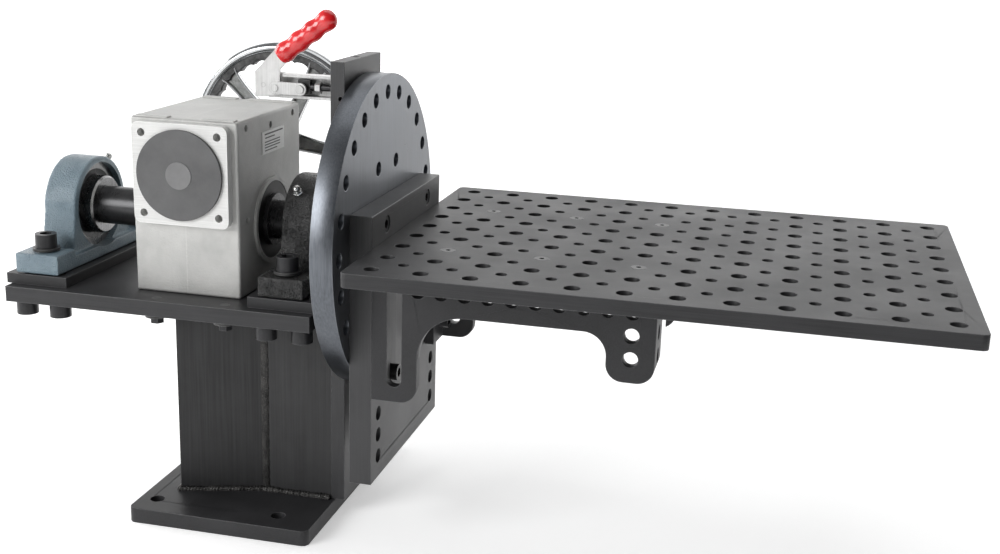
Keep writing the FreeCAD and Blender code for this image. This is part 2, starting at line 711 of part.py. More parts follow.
def make_riser(label, middle):
    body = piece(label, middle)
    pad(body, TOP, platform_top, riser_thick, centred(riser_width, riser_depth))
    tapped = pocket(body, TOP, platform_top, riser_thick,
                    circle(-riser_screw_x / 2, -riser_screw_y / 2, foot_bolt))
    grid(body, tapped, riser_screw_x, 2, riser_screw_y, 2)
    bolt = pocket(body, TOP, platform_top, riser_thick,
                  circle(0, -foot_bolt_span / 2, foot_bolt))
    grid(body, bolt, foot_bolt_span, 2, first="V_Axis")


# ---- pillow blocks and shaft -------------------------------------------------------------

def make_pillow_housing(label, middle):
    body = piece(label, middle)
    half_arch = arch_width / 2
    foot_half = foot_width / 2
    end = foot_length / 2
    pad(body, TOP, riser_top, foot_thick, box(-foot_half, foot_half, -end, end))
    for side in (-1, 1):
        outer = end * side
        inner = (end - boss_length) * side
        pad(body, TOP, riser_top + foot_thick, boss_rise,
            outline((-foot_half, inner), (foot_half, inner), (foot_half, outer),
                    (-foot_half, outer)))
    pad(body, SIDE, -half_arch, arch_width, circle(0, axis_high, arch_radius * 2))
    pad(body, SIDE, -half_arch, arch_width,
        box(-arch_radius, arch_radius, riser_top, riser_top + shaft_rise * 0.55))
    pocket(body, SIDE, -half_arch, arch_width, circle(0, axis_high, ring_outer))
    pocket(body, TOP, riser_top, foot_thick + boss_rise,
           together(circle(0, -foot_bolt_span / 2, foot_bolt),
                    circle(0, foot_bolt_span / 2, foot_bolt)))
    return body


def make_bearing_rings():
    """Outer rings in the housings, and turning inner rings with locking collars."""
    span = riser_right_at - riser_left_at
    wide = ring_width / 2
    outer = piece("bearing_outer_rings", riser_left_at, 0, axis_high)
    race = ring_outer / 2 - ring_width * 0.32
    ring = revolve(outer, box(-wide, wide, race, ring_outer / 2))
    grid(outer, ring, span, 2)
    bore = shaft_dia / 2
    inner_rings = []
    for label, middle, way in (("inner_ring_left", riser_left_at, 1),
                               ("inner_ring_right", riser_right_at, -1)):
        inner = piece(label, middle, 0, axis_high)
        revolve(inner, outline(
            (-wide * way, bore), (collar_out * way, bore),
            (collar_out * way, ring_inner / 2 - shaft_chamfer),
            ((collar_out - shaft_chamfer) * way, ring_inner / 2),
            (-wide * way, ring_inner / 2)))
        inner.Tip = pocket(inner, TOP, bore + 0.01, ring_inner / 2,
                           circle(collar_out * 0.75 * way, 0, joint_screw))
        inner_rings.append(inner)
    group("bearing_inner_rings", *inner_rings)
    balls = piece("bearing_balls", riser_left_at, 0, axis_high)
    track = (race + ring_inner / 2) / 2
    cage = revolve(balls, box(-ball_dia / 2, ball_dia / 2,
                              track - ball_dia * 0.3, track + ball_dia * 0.3))
    grid(balls, cage, span, 2)


def make_set_screws():
    body = piece("bearing_set_screws", riser_left_at + collar_out * 0.75, 0, axis_high)
    screw_1 = pad(body, TOP, shaft_dia / 2 + 0.01, set_screw_long, circle(0, 0, joint_screw))
    grid(body, screw_1, riser_right_at - riser_left_at - collar_out * 1.5, 2)


def make_nipple(label, middle, side):
    turn = Rotation(Vector(1, 0, 0), -45 * side)
    body = piece(label, middle + ring_width * 0.2, 0, axis_high, turn)
    foot = arch_radius - 0.01
    pad(body, TOP, foot, nipple_foot, circle(0, 0, nipple_dia))
    pad(body, TOP, foot + nipple_foot / 2, nipple_foot / 2, circle(0, 0, nipple_dia * 1.4))
    pad(body, TOP, foot + nipple_foot, nipple_tip, circle(0, 0, nipple_dia * 0.75))
    return body


def make_foot_fasteners():
    span = riser_right_at - riser_left_at
    seat = riser_top + foot_thick + boss_rise
    low = -foot_bolt_span / 2
    reach = seat - platform_low + washer_thick + bolt_past
    screw("foot_bolts", riser_left_at, low, seat + washer_thick, None, foot_bolt, reach,
          span, 2, foot_bolt_span, 2)
    washers("foot_washers", riser_left_at, low, seat, None, foot_bolt + bolt_gap,
            foot_bolt * 1.9, span, 2, foot_bolt_span, 2)
    first_x = riser_left_at - riser_screw_x / 2
    first_y = riser_screw_y / 2
    under = platform_low - washer_thick
    twin(screw("riser_screws", first_x, first_y, under, BELOW, foot_bolt,
               platform_thick + riser_thick + washer_thick - bolt_gap,
               riser_screw_x, 2, riser_screw_y, 2), span)
    twin(washers("riser_washers", first_x, first_y, platform_low, BELOW,
                 foot_bolt + bolt_gap, foot_bolt * 1.6, riser_screw_x, 2,
                 riser_screw_y, 2), span)
    screw("platform_screws", platform_screw_at, platform_screw_y / 2, under, BELOW,
          platform_bolt, platform_thick + washer_thick, platform_screw_x, 2,
          platform_screw_y, 2, hexagon=True, rise=platform_bolt_head)
    washers("platform_washers", platform_screw_at, platform_screw_y / 2, platform_low, BELOW,
            platform_bolt + bolt_gap, platform_washer, platform_screw_x, 2,
            platform_screw_y, 2)


def make_shaft():
    body = piece("main_shaft", 0, 0, axis_high)
    end = shaft_dia / 2
    revolve(body, outline((shaft_left_end, 0), (disc_right, 0), (disc_right, end),
                          (shaft_left_end + shaft_chamfer, end),
                          (shaft_left_end, end - shaft_chamfer)))
    key_low = end - key_sunk
    pocket(body, TOP, key_low, key_sunk + 1, centred(key_length, key_width, worm_at))
    key = piece("shaft_key", worm_at, 0, axis_high)
    pad(key, TOP, key_low, key_sunk + key_rise, centred(key_length, key_width))


# ---- gearbox ------------------------------------------------------------------------------

def make_gearbox_half(label, left, right):
    """One half of the cast housing, split at the worm's axis."""
    body = piece(label)
    inward = 1 if label.endswith("left") else -1
    outside = left if inward == 1 else right
    width = right - left
    pad(body, SIDE, left, width, box(box_front, box_back, platform_top, box_top))

    def outside_edge(run, middle):
        return abs(middle.x - outside.value) < 0.01 or abs(run.x) > 0.99

    body.Tip = round_edges(body, box_edge, outside_edge)
    if inward == -1:
        pad(body, SIDE, right, output_ring_out, circle(0, axis_high, output_ring))
    pocket(body, SIDE, worm_at - wheel_space if inward == 1 else worm_at, wheel_space,
           circle(0, axis_high, wheel_cavity))
    pocket(body, SIDE, left - 1, width + output_ring_out + 2,
           circle(0, axis_high, output_bearing_dia - output_shoulder * 2))
    deep = output_bearing_width + bearing_inset
    seat = outside if inward == 1 else outside + output_ring_out - deep
    pocket(body, SIDE, seat, deep, circle(0, axis_high, output_bearing_dia))
    pocket(body, FRONT, box_front - 1, box_depth + 2, circle(worm_at, worm_high, worm_bearing_dia))
    for low, across in ((joint_screw_high, -1), (joint_screw_high, 1),
                        (joint_screw_low, -1), (joint_screw_low, 1)):
        pocket(body, SIDE, left - 1, width + 2,
               circle(joint_screw_span / 2 * across, axis_high + low, joint_screw))
    if inward == -1:
        pocket(body, SIDE, right - plug_deep, plug_deep,
               circle(plug_across, axis_high + plug_high, joint_screw))
        foot = pocket(body, TOP, platform_top, box_screw_deep,
                      circle(worm_at + box_screw_at, -box_screw_y / 2, joint_screw))
        grid(body, foot, box_screw_x, 2, box_screw_y, 2)


def make_gearbox_fittings():
    flange = piece("input_flange")
    half = flange_side / 2
    pad(flange, FRONT, box_front - flange_thick, flange_thick,
        box(worm_at - half, worm_at + half, worm_high - half, worm_high + half))
    flange.Tip = round_edges(flange, flange_corner, lambda run, middle: abs(run.y) > 0.99)
    span = flange_hole_span / 2
    bolt = pocket(flange, FRONT, box_front - flange_thick, flange_thick,
                  circle(worm_at - span, worm_high - span, flange_hole))
    grid(flange, bolt, flange_hole_span, 2, flange_hole_span, 2)
    flange.Tip = pocket(flange, FRONT, box_front - flange_thick, flange_thick,
                        circle(worm_at, worm_high, worm_bearing_dia))

    cap = piece("input_cap", worm_at, box_front - flange_thick, worm_high, ACROSS)
    pad(cap, TOP, -cap_out, cap_out, circle(0, 0, cap_dia))
    pad(cap, TOP, 0, flange_thick - cap_spigot_short,
        circle(0, 0, worm_bearing_dia - cap_spigot_gap))
    mark = piece("cap_disc", worm_at, box_front - flange_thick - cap_out, worm_high, ACROSS)
    pad(mark, TOP, -disc_mark_thick, disc_mark_thick, circle(0, 0, disc_mark_dia))

    plate = piece("rating_plate")
    pad(plate, SIDE, box_right, rating_thick,
        centred(rating_length, rating_height, rating_across, worm_high + rating_up))
    plug = piece("oil_plug")
    pad(plug, SIDE, box_right - plug_deep, plug_long,
        circle(plug_across, axis_high + plug_high, joint_screw))

    joint = piece("housing_screws", box_at, -joint_screw_span / 2, axis_high, ALONG)
    long = box_width - screw_recess * 2
    for high in (joint_screw_high, joint_screw_low):
        for across in (0, 1):
            middle = circle(-high, joint_screw_span * across, joint_screw)
            pad(joint, TOP, screw_recess, long, middle)
    feet = piece("gearbox_foot_screws", worm_at + box_screw_at, -box_screw_y / 2,
                 platform_low, BELOW)
    pad(feet, TOP, 0, joint_screw, circle(0, 0, joint_screw * 1.5))
    long = platform_thick + box_screw_deep - box_screw_short
    last = pad(feet, TOP, -long, long, circle(0, 0, joint_screw))
    grid(feet, last, box_screw_x, 2, -box_screw_y, 2, whole=True)


def make_gearbox_bearings():
    outer = piece("output_bearings", box_at, 0, axis_high)
    inside = sleeve_dia / 2 + running_gap
    ring = revolve(outer, box(bearing_inset, output_bearing_width + bearing_inset, inside,
                              output_bearing_dia / 2))
    grid(outer, ring,
         box_width + output_ring_out - output_bearing_width - bearing_inset * 2, 2)
    seals = piece("output_seals", box_at, 0, axis_high)
    ring = revolve(seals, box(seal_inset, seal_inset + seal_thick, inside + seal_gap,
                              output_bearing_dia / 2))
    grid(seals, ring, box_width + output_ring_out - seal_thick - seal_inset * 2, 2)
    worm_rings = piece("worm_bearings", worm_at, box_front + bearing_inset, worm_high,
                       ACROSS)
    hole_dia = worm_shaft_dia + running_gap * 2
    ring = pad(worm_rings, TOP, 0, worm_bearing_width,
               together(circle(0, 0, worm_bearing_dia), circle(0, 0, hole_dia)))
    grid(worm_rings, ring, box_depth - worm_bearing_width - bearing_inset * 2, 2,
         first="N_Axis")
    seal = piece("worm_seal", worm_at, box_back - seal_inset - seal_thick, worm_high, ACROSS)
    pad(seal, TOP, 0, seal_thick, together(
        circle(0, 0, worm_bearing_dia),
        circle(0, 0, worm_shaft_dia + running_gap * 2 + seal_gap * 2)))
    group("gearbox_seals", seals, seal)


def make_sleeve():
    body = piece("hollow_sleeve", 0, 0, axis_high)
    revolve(body, box(box_at - sleeve_past, box_right + output_ring_out + sleeve_past * 2,
                      shaft_dia / 2, sleeve_dia / 2))
    body.Tip = pocket(body, TOP, shaft_dia / 2 - key_sunk, sleeve_wall + key_sunk * 2,
                      centred(key_length, key_width, worm_at))


def make_worm_wheel():
    """Wheel with one tooth upright between two threads of the worm."""
    body = piece("worm_wheel", worm_at - wheel_face / 2, 0, axis_high)
    pitch_radius = wheel_pitch_dia / 2
    root = pitch_radius - tooth_module * 1.25
    tip = pitch_radius + tooth_module * 0.8
    pad(body, SIDE, 0, wheel_face, together(circle(0, 0, root * 2), circle(0, 0, sleeve_dia)))
    half_root = tooth_module * 0.78
    half_tip = tooth_module * 0.34
    tooth = pad(body, SIDE, 0, wheel_face, outline(
        (-half_root, root - 1), (half_root, root - 1), (half_tip, tip), (-half_tip, tip)))
    around(body, tooth, wheel_teeth)


def make_worm():
    """Single right-hand thread; a gap between threads faces the wheel's upright tooth."""
    body = piece("worm_shaft", worm_at, 0, worm_high, ACROSS)
    root = worm_pitch_dia / 2 - tooth_module * 1.1
    tip = worm_pitch_dia / 2 + tooth_module * 0.8
    front = box_front + worm_end_inset
    half = worm_threaded / 2
    long = box_depth + hub_at + hub_length - worm_nut_inset
    pad(body, TOP, front, long, circle(0, 0, worm_shaft_dia))
    pad(body, TOP, -half, worm_threaded, circle(0, 0, root * 2))
    thread = sketch_on(body, FRONT, 0)
    start = -worm_lead * (thread_turns + 0.5) / 2
    outline((root - 0.5, start - tooth_module * 0.72), (tip, start - tooth_module * 0.3),
            (tip, start + tooth_module * 0.3), (root - 0.5, start + tooth_module * 0.72))(thread)
    helix = body.newObject("PartDesign::AdditiveHelix", "Thread")
    helix.Profile = thread
    helix.ReferenceAxis = (thread, ["V_Axis"])
    helix.Mode = "pitch-turns-angle"
    bind(helix, "Pitch", worm_lead)
    bind(helix, "Turns", thread_turns)
    body.Tip = helix


# ---- handwheel ------------------------------------------------------------------------------

def make_handwheel():
    body = piece("handwheel", worm_at, box_back, worm_high, ACROSS)
    outer = wheel_dia / 2
    rim_inner = outer - rim_radial
    mid = rim_at + rim_axial / 2
    bevel = rim_radial / 3
    revolve(body, outline(
        (rim_inner, rim_at + bevel), (rim_inner + bevel, rim_at), (outer - bevel, rim_at),
        (outer, rim_at + bevel), (outer, rim_at + rim_axial - bevel),
        (outer - bevel, rim_at + rim_axial), (rim_inner + bevel, rim_at + rim_axial),
        (rim_inner, rim_at + rim_axial - bevel)), "V_Axis")
    pad(body, TOP, hub_at, hub_length, circle(0, 0, hub_dia))
    reach = rim_inner + bevel / 2
    start = hub_dia / 2 - 4
    half = spoke_width / 2
    turn = math.radians(spoke_turn.value)
    low = mid - spoke_thick * 0.9
    cos, sin = math.cos(turn), math.sin(turn)
    corners = [(start, -half), (reach, -half), (reach, half), (start, half)]
    turned = [(x * cos - y * sin, -(x * sin + y * cos)) for x, y in corners]
    spoke = pad(body, TOP, low, spoke_thick, outline(*turned))
    around(body, spoke, spoke_count)
    body.Tip = pocket(body, TOP, hub_at - 1, hub_length + 2, circle(0, 0, worm_shaft_dia))
    nut = piece("handwheel_nut", worm_at, box_back + hub_at + hub_length, worm_high, ACROSS)
    pad(nut, TOP, 0, washer_thick, circle(0, 0, worm_shaft_dia * 1.5))
    pad(nut, TOP, washer_thick, wheel_nut_thick, hexagon_of(worm_shaft_dia * 0.6))


# ---- index disc, carrier, arms and table --------------------------------------------------------

def make_disc():
    body = piece("index_disc", disc_left, 0, axis_high)
    pad(body, SIDE, 0, disc_thick, circle(0, 0, disc_dia))
    body.Tip = pocket(body, SIDE, 0, disc_thick, circle(0, 0, shaft_dia))
    first = pocket(body, SIDE, 0, disc_thick, circle(0, index_dia / 2, index_hole))
    around(body, first, index_count)
    turn = math.pi / inner_count.value
    first = pocket(body, SIDE, 0, disc_thick,
                   circle(inner_dia / 2 * math.sin(turn), inner_dia / 2 * math.cos(turn), hole))
    around(body, first, inner_count)
    tapped = pocket(body, SIDE, disc_blind, disc_thick - disc_blind, circle(
        -carrier_screw_span / 2, carrier_top - carrier_screw_drop, arm_screw))
    grid(body, tapped, carrier_screw_span, 2, -carrier_screw_fall, 2)


def make_carrier():
    body = piece("carrier_plate")
    half = carrier_width / 2
    pad(body, SIDE, disc_right, carrier_thick, box(-half, half, carrier_low, carrier_high))
    edge = half - hole_pitch
    low = carrier_low + hole_pitch
    lower = pocket(body, SIDE, disc_right, carrier_thick, circle(-edge, low, hole))
    grid(body, lower, edge * 2, 2, hole_pitch, 3)
    upper = pocket(body, SIDE, disc_right, carrier_thick,
                   circle(-edge, low + hole_pitch * 5, hole))
    grid(body, upper, edge * 2, 2, hole_pitch, 3)
    tapped = pocket(body, SIDE, disc_right, carrier_thick,
                    circle(-edge, low + hole_pitch * 4, arm_screw))
    grid(body, tapped, edge * 2, 2, arm_screw_span, 2)
    span = carrier_screw_span
    high = carrier_high - carrier_screw_drop
    through = pocket(body, SIDE, disc_right, carrier_thick,
                     circle(-span / 2, high, arm_screw + bolt_gap))
    grid(body, through, span, 2, -carrier_screw_fall, 2)
    sunk = arm_screw + bolt_gap
    counter = pocket(body, SIDE, carrier_right - sunk, sunk,
                     circle(-span / 2, high, arm_screw * 1.5 + bolt_gap))
    grid(body, counter, span, 2, -carrier_screw_fall, 2)
    screw("disc_screws", carrier_right - sunk, -span / 2, high, ALONG, arm_screw,
          carrier_thick - sunk + disc_thick - disc_blind - bolt_gap,
          carrier_screw_fall, 2, span, 2)


def arm_outline(sketch):
    """The arm's side view: beam, two legs, outside rounds and inside fillets."""
    left = carrier_right
    knee = left + arm_leg
    step = arm_right - arm_leg
    near_low = arm_top - arm_drop_near
    far_low = arm_top - arm_drop_far
    beam_low = arm_top - arm_beam
    outline((left, near_low), (knee, near_low), (knee, beam_low), (step, beam_low),
            (step, far_low), (arm_right, far_low), (arm_right, arm_top),
            (left, arm_top))(sketch)


def make_arm(label, side):
    """Machined L-section: a web with a flange turned inwards along each leg."""
    body = piece(label)
    out = carrier_width / 2
    web = -out if side < 0 else out - arm_web
    pad(body, FRONT, web, arm_web, arm_outline)
    inner = -out + arm_web if side < 0 else out - arm_leg
    reach = arm_leg - arm_web
    pad(body, FRONT, inner, reach, box(
        carrier_right, carrier_right + arm_flange, arm_top - arm_drop_near, arm_top))
    pad(body, FRONT, inner, reach, box(
        arm_right - arm_flange, arm_right, arm_top - arm_drop_far, arm_top))
    body.Tip = pad(body, FRONT, inner, reach, box(
        carrier_right + arm_flange, arm_right - arm_flange, arm_top - arm_flange, arm_top))
    knee = (carrier_right + arm_leg).value
    step = (arm_right - arm_leg).value
    near_low = (arm_top - arm_drop_near).value
    far_low = (arm_top - arm_drop_far).value
    beam_low = (arm_top - arm_beam).value

    def at(x, z):
        return lambda run, middle: (abs(run.y) > 0.99 and abs(middle.x - x) < 0.01
                                    and abs(middle.z - z) < 0.01)

    for radius, x, z in ((arm_round, knee, near_low), (arm_fillet_near, knee, beam_low),
                         (arm_fillet_far, step, beam_low), (arm_round, step, far_low),
                         (arm_round, arm_right.value, far_low)):
        body.Tip = round_edges(body, radius, at(x, z))
    hole_z = arm_top - arm_row
    first = pocket(body, FRONT, web, arm_web, circle(carrier_right + arm_leg, hole_z, hole))
    grid(body, first, hole_pitch, 10)
    lower = pocket(body, FRONT, web, arm_web,
                   circle(arm_right - hole_pitch, hole_z - hole_pitch, hole))
    grid(body, lower, -hole_pitch, 2, first="V_Axis")
    slot_x = carrier_right + hole_pitch
    half = hole / 2
    pocket(body, FRONT, web, arm_web, box(
        slot_x - half, slot_x + half, hole_z - slot_length, hole_z))
    pocket(body, FRONT, web, arm_web, circle(slot_x, hole_z - slot_length, hole))
    pocket(body, FRONT, web, arm_web, circle(slot_x, hole_z, hole))
    line = (out - hole_pitch) * side
    end = pocket(body, SIDE, arm_right - arm_flange, arm_flange,
                 circle(line, hole_z - hole_pitch, hole))
    grid(body, end, -hole_pitch, 2, first="V_Axis")
    bolts = pocket(body, SIDE, carrier_right, arm_flange, circle(line, hole_z, arm_screw))
    grid(body, bolts, -arm_screw_span, 2, first="V_Axis")
    taps = pocket(body, TOP, arm_top - arm_flange, arm_flange,
                  circle(carrier_right + table_inset + table_pitch, line, table_bolt))
    grid(body, taps, table_pitch * 2, 3)


def make_arm_screws():
    line = carrier_width / 2 - hole_pitch
    high = arm_top - arm_row
    screw("arm_screws", carrier_right + arm_flange, -line, high, ALONG, arm_screw,
          arm_flange + arm_screw_bite, arm_screw_span, 2, line * 2, 2)


def make_table():
    body = piece("table_top")
    left = carrier_right
    half = table_width / 2
    pad(body, TOP, table_low, table_thick, box(left, left + table_length, -half, half))
    body.Tip = round_edges(body, table_corner, upright)
    first_x = left + table_inset
    first_y = -half + table_inset
    big = pocket(body, TOP, table_low, table_thick, circle(first_x, first_y, hole))
    grid(body, big, table_pitch, columns, table_pitch, rows)
    small = pocket(body, TOP, table_low, table_thick, circle(
        first_x + table_pitch / 2, first_y + table_pitch / 2, small_hole))
    grid(body, small, table_pitch, columns - 1, table_pitch, rows - 1)


def make_table_screws():
    """Flush countersunk screws that fill six of the table's big holes."""
    line = carrier_width / 2 - hole_pitch
    body = piece("table_screws", carrier_right + table_inset + table_pitch, -line)
    pad(body, TOP, table_low, table_thick, circle(0, 0, hole))
    pad(body, TOP, table_low - arm_flange, arm_flange, circle(0, 0, table_bolt))
    last = pocket(body, TOP, table_top - table_key_deep, table_key_deep,
                  hexagon_of(table_key))
    grid(body, last, table_pitch * 2, 3, line * 2, 2, whole=True)


# ---- index clamp -----------------------------------------------------------------------------

def make_clamp_frame():
    """Bent frame fixed to the index plate, with the handle's pivot."""
    right = plate_left
    low = pin_high - clamp_drop
    top = low + clamp_high
    left = right - clamp_length
    shelf = clamp_web - clamp_front
    pivot = right - pivot_back
    frame = piece("clamp_frame")
    pad(frame, FRONT, clamp_web, clamp_plate, box(left, right, low, top))
    pad(frame, FRONT, clamp_front, shelf, box(left, right, low, low + clamp_plate))
    pad(frame, FRONT, clamp_front, shelf, box(left + clamp_step, right, top - clamp_plate, top))
    pad(frame, FRONT, clamp_web, clamp_plate,
        box(pivot - clamp_lug, left, low, top - clamp_lug_low))
    pocket(frame, FRONT, clamp_web, clamp_plate,
           circle(pivot, pin_high + pivot_rise, pivot_dia))
    pin = piece("clamp_pivot", pivot, handle_front, pin_high + pivot_rise, ACROSS)
    pad(pin, TOP, 0, clamp_web + clamp_plate - handle_front, circle(0, 0, pivot_dia))


def make_handle():
    """Cranked lever plate and its dipped grip."""
    right = plate_left
    turn = math.radians(grip_angle.value)
    cos, sin = math.cos(turn), math.sin(turn)
    root_x, root_z = right - grip_back, pin_high + grip_up
    neck_x, neck_z = root_x + neck_long * cos, root_z + neck_long * sin
    handle = piece("clamp_handle")
    pad(handle, FRONT, handle_front, clamp_plate, outline(
        (right - handle_back, pin_high - handle_foot),
        (right - handle_back + handle_heel, pin_high - handle_foot),
        (right - handle_toe, pin_high - handle_toe_low),
        (right - handle_toe, pin_high + handle_toe_high),
        (neck_x + neck_half * sin, neck_z - neck_half * cos),
        (neck_x - neck_half * sin, neck_z + neck_half * cos),
        (root_x - neck_root * sin, root_z + neck_root * cos),
        (right - handle_back, pin_high + handle_shoulder)))
    pocket(handle, FRONT, handle_front, clamp_plate, together(
        circle(right - pivot_back, pin_high + pivot_rise, pivot_dia + running_gap * 2),
        circle(right - link_pivot_back, pin_high - link_drop, pivot_dia)))
    grip = piece("clamp_grip", root_x, handle_front + clamp_plate / 2, root_z,
                 Rotation(Vector(0, 1, 0), 90 - grip_angle.value))
    radius = grip_dia / 2
    revolve(grip, outline(
        (0, 0), (radius * 0.75, 0), (radius, grip_length * 0.1),
        (radius * 0.8, grip_length / 2), (radius, grip_length * 0.88),
        (radius * 0.6, grip_length), (0, grip_length)), "V_Axis")
    pocket(grip, FRONT, -clamp_plate / 2, clamp_plate,
           box(-radius, radius, 0, neck_long))


def make_link():
    """Link in front of the handle and the rod's eye, with its rivet and end screw."""
    front = handle_front - link_gap - clamp_plate
    near = plate_left - link_pivot_back
    far = plate_left - link_far_back
    high = pin_high - link_drop
    half = link_width / 2
    link = piece("clamp_link")
    pad(link, FRONT, front, clamp_plate, box(near, far, high - half, high + half))
    pad(link, FRONT, front, clamp_plate, circle(near, high, link_width))
    pad(link, FRONT, front, clamp_plate, circle(far, high, link_width))
    pad(link, FRONT, front - link_screw_rise, link_screw_rise, circle(far, high, link_screw))
    pocket(link, FRONT, front, clamp_plate,
           circle(near, high, pivot_dia + running_gap * 2))
    rivet = piece("clamp_rivet", near, front - rivet_head_thick, high, ACROSS)
    pad(rivet, TOP, 0, rivet_head_thick, circle(0, 0, rivet_head))
    pad(rivet, TOP, rivet_head_thick, clamp_plate * 2 + link_gap, circle(0, 0, pivot_dia))


def make_plunger():
    """Rod with its eye block and nut, and the index pin that it carries."""
    rod = piece("clamp_rod", plate_left, 0, pin_high)
    pad(rod, SIDE, rod_from, rod_end - rod_from, circle(0, 0, rod_dia))
    pad(rod, FRONT, -rod_dia / 2, rod_dia,
        box(-link_far_back - pivot_dia, rod_from + 1, -rod_block, rod_block))
    pad(rod, FRONT, handle_front, -handle_front, circle(-link_far_back, -link_drop, boss_dia))
    nut = piece("clamp_nut", plate_left - nut_back, 0, pin_high, ALONG)
    pad(nut, TOP, -nut_thick / 2, nut_thick, hexagon_of(nut_corner))
    pocket(nut, TOP, -nut_thick / 2, nut_thick, circle(0, 0, rod_dia))
    body = piece("index_pin", disc_left - pin_back, 0, pin_high, ALONG)
    pad(body, TOP, -pin_length, pin_length, circle(0, 0, pin_dia))
    pocket(body, TOP, -pin_length, pin_length - pin_floor,
           circle(0, 0, rod_dia + running_gap * 2))


# ---- build and write ----------------------------------------------------------------------------

def make_all():
    make_base()
    make_column()
    make_weld_beads()
    make_index_plate()
    make_platform()
    make_riser("riser_left", riser_left_at)
    make_riser("riser_right", riser_right_at)
    make_pillow_housing("pillow_housing_left", riser_left_at)
    make_pillow_housing("pillow_housing_right", riser_right_at)
    make_bearing_rings()
    make_set_screws()
    group("grease_nipples", make_nipple("nipple_left", riser_left_at, 1),
          make_nipple("nipple_right", riser_right_at, -1))
    make_foot_fasteners()
    make_shaft()
    make_gearbox_half("gearbox_half_left", box_at, worm_at)
    make_gearbox_half("gearbox_half_right", worm_at, box_right)
    make_gearbox_fittings()
    make_gearbox_bearings()
    make_sleeve()
    make_worm_wheel()
    make_worm()
    make_handwheel()
    make_disc()
    make_carrier()
    make_arm("arm_near", -1)
    make_arm("arm_far", 1)
    make_arm_screws()
    make_table()
    make_table_screws()
    make_clamp_frame()
    make_handle()
    make_link()
    make_plunger()


def check_and_write():
    """Stops on any failed object or unsound shape, then writes one file per sub-part."""
    doc.recompute()
    for thing in doc.Objects:
        if "Invalid" in thing.State or "Error" in thing.State:
            raise RuntimeError("failed: " + thing.Label + " " + thing.Name)
    os.makedirs("parts", exist_ok=True)
    for body in parts:
        shape = body.Shape
        if shape.isNull() or not shape.isValid() or shape.Volume <= 0:
            raise RuntimeError("unsound shape: " + body.Label)
        shape.exportStep("parts/" + body.Label + ".step")
        print("%-26s %10.1f mm3  solids %d" % (body.Label, shape.Volume, len(shape.Solids)))
    print(len(parts), "sub-parts")


make_all()
check_and_write()
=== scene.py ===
import math
import random

import bmesh
import bpy
from mathutils import Matrix, Vector


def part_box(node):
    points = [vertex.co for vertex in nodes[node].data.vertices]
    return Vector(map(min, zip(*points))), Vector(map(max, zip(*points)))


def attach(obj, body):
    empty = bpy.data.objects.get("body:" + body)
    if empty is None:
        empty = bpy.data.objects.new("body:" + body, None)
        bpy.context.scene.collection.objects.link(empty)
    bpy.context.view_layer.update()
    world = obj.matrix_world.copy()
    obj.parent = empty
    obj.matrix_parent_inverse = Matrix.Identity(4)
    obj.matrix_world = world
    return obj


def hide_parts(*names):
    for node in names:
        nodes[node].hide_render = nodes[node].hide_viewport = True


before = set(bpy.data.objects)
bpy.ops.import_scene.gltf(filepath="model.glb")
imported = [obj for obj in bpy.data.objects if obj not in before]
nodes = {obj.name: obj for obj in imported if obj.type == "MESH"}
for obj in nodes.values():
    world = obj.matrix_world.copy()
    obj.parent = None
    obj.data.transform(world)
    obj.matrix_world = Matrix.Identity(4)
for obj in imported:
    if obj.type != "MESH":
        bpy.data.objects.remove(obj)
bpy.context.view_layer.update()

# Rotary table for welding and fixturing. Everything is in metres, in the frame of the CAD
# model: X along the shaft towards the table, Y towards the handwheel, Z up. Small sizes are
# written in millimetres, times MM.

MM = 0.001
WHITE = (1.0, 1.0, 1.0, 1.0)
BOX_FACES = ((3, 2, 1, 0), (4, 5, 6, 7), (0, 1, 5, 4), (1, 2, 6, 5), (2, 3, 7, 6), (3, 0, 4, 7))


def middle(node):
    low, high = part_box(node)
    return (Vector(low) + Vector(high)) / 2


# ---- camera, light and floor -------------------------------------------------------------

camera_place = (0.60164, -1.38190, 0.67478)
camera_right = Vector((0.97161, 0.23444, 0.03142))
camera_up = Vector((-0.09151, 0.25001, 0.96391))
focal_length = 47.27
sensor_width = 36.0


def set_camera():
    data = bpy.data.cameras.new("studio_camera")
    data.sensor_width = sensor_width
    data.lens = focal_length
    data.clip_start = 0.05
    camera = bpy.data.objects.new("studio_camera", data)
    bpy.context.scene.collection.objects.link(camera)
    camera_back = camera_right.cross(camera_up)
    turn = Matrix((camera_right, camera_up, camera_back)).transposed().to_4x4()
    camera.matrix_world = Matrix.Translation(camera_place) @ turn
    bpy.context.scene.camera = camera


def soft_box(name, place, target, width, height, watts):
    data = bpy.data.lights.new(name, "AREA")
    data.shape = "RECTANGLE"
    data.size = width
    data.size_y = height
    data.energy = watts
    lamp = bpy.data.objects.new(name, data)
    bpy.context.scene.collection.objects.link(lamp)
    lamp.location = place
    aim = Vector(target) - Vector(place)
    lamp.rotation_euler = aim.to_track_quat("-Z", "Y").to_euler()


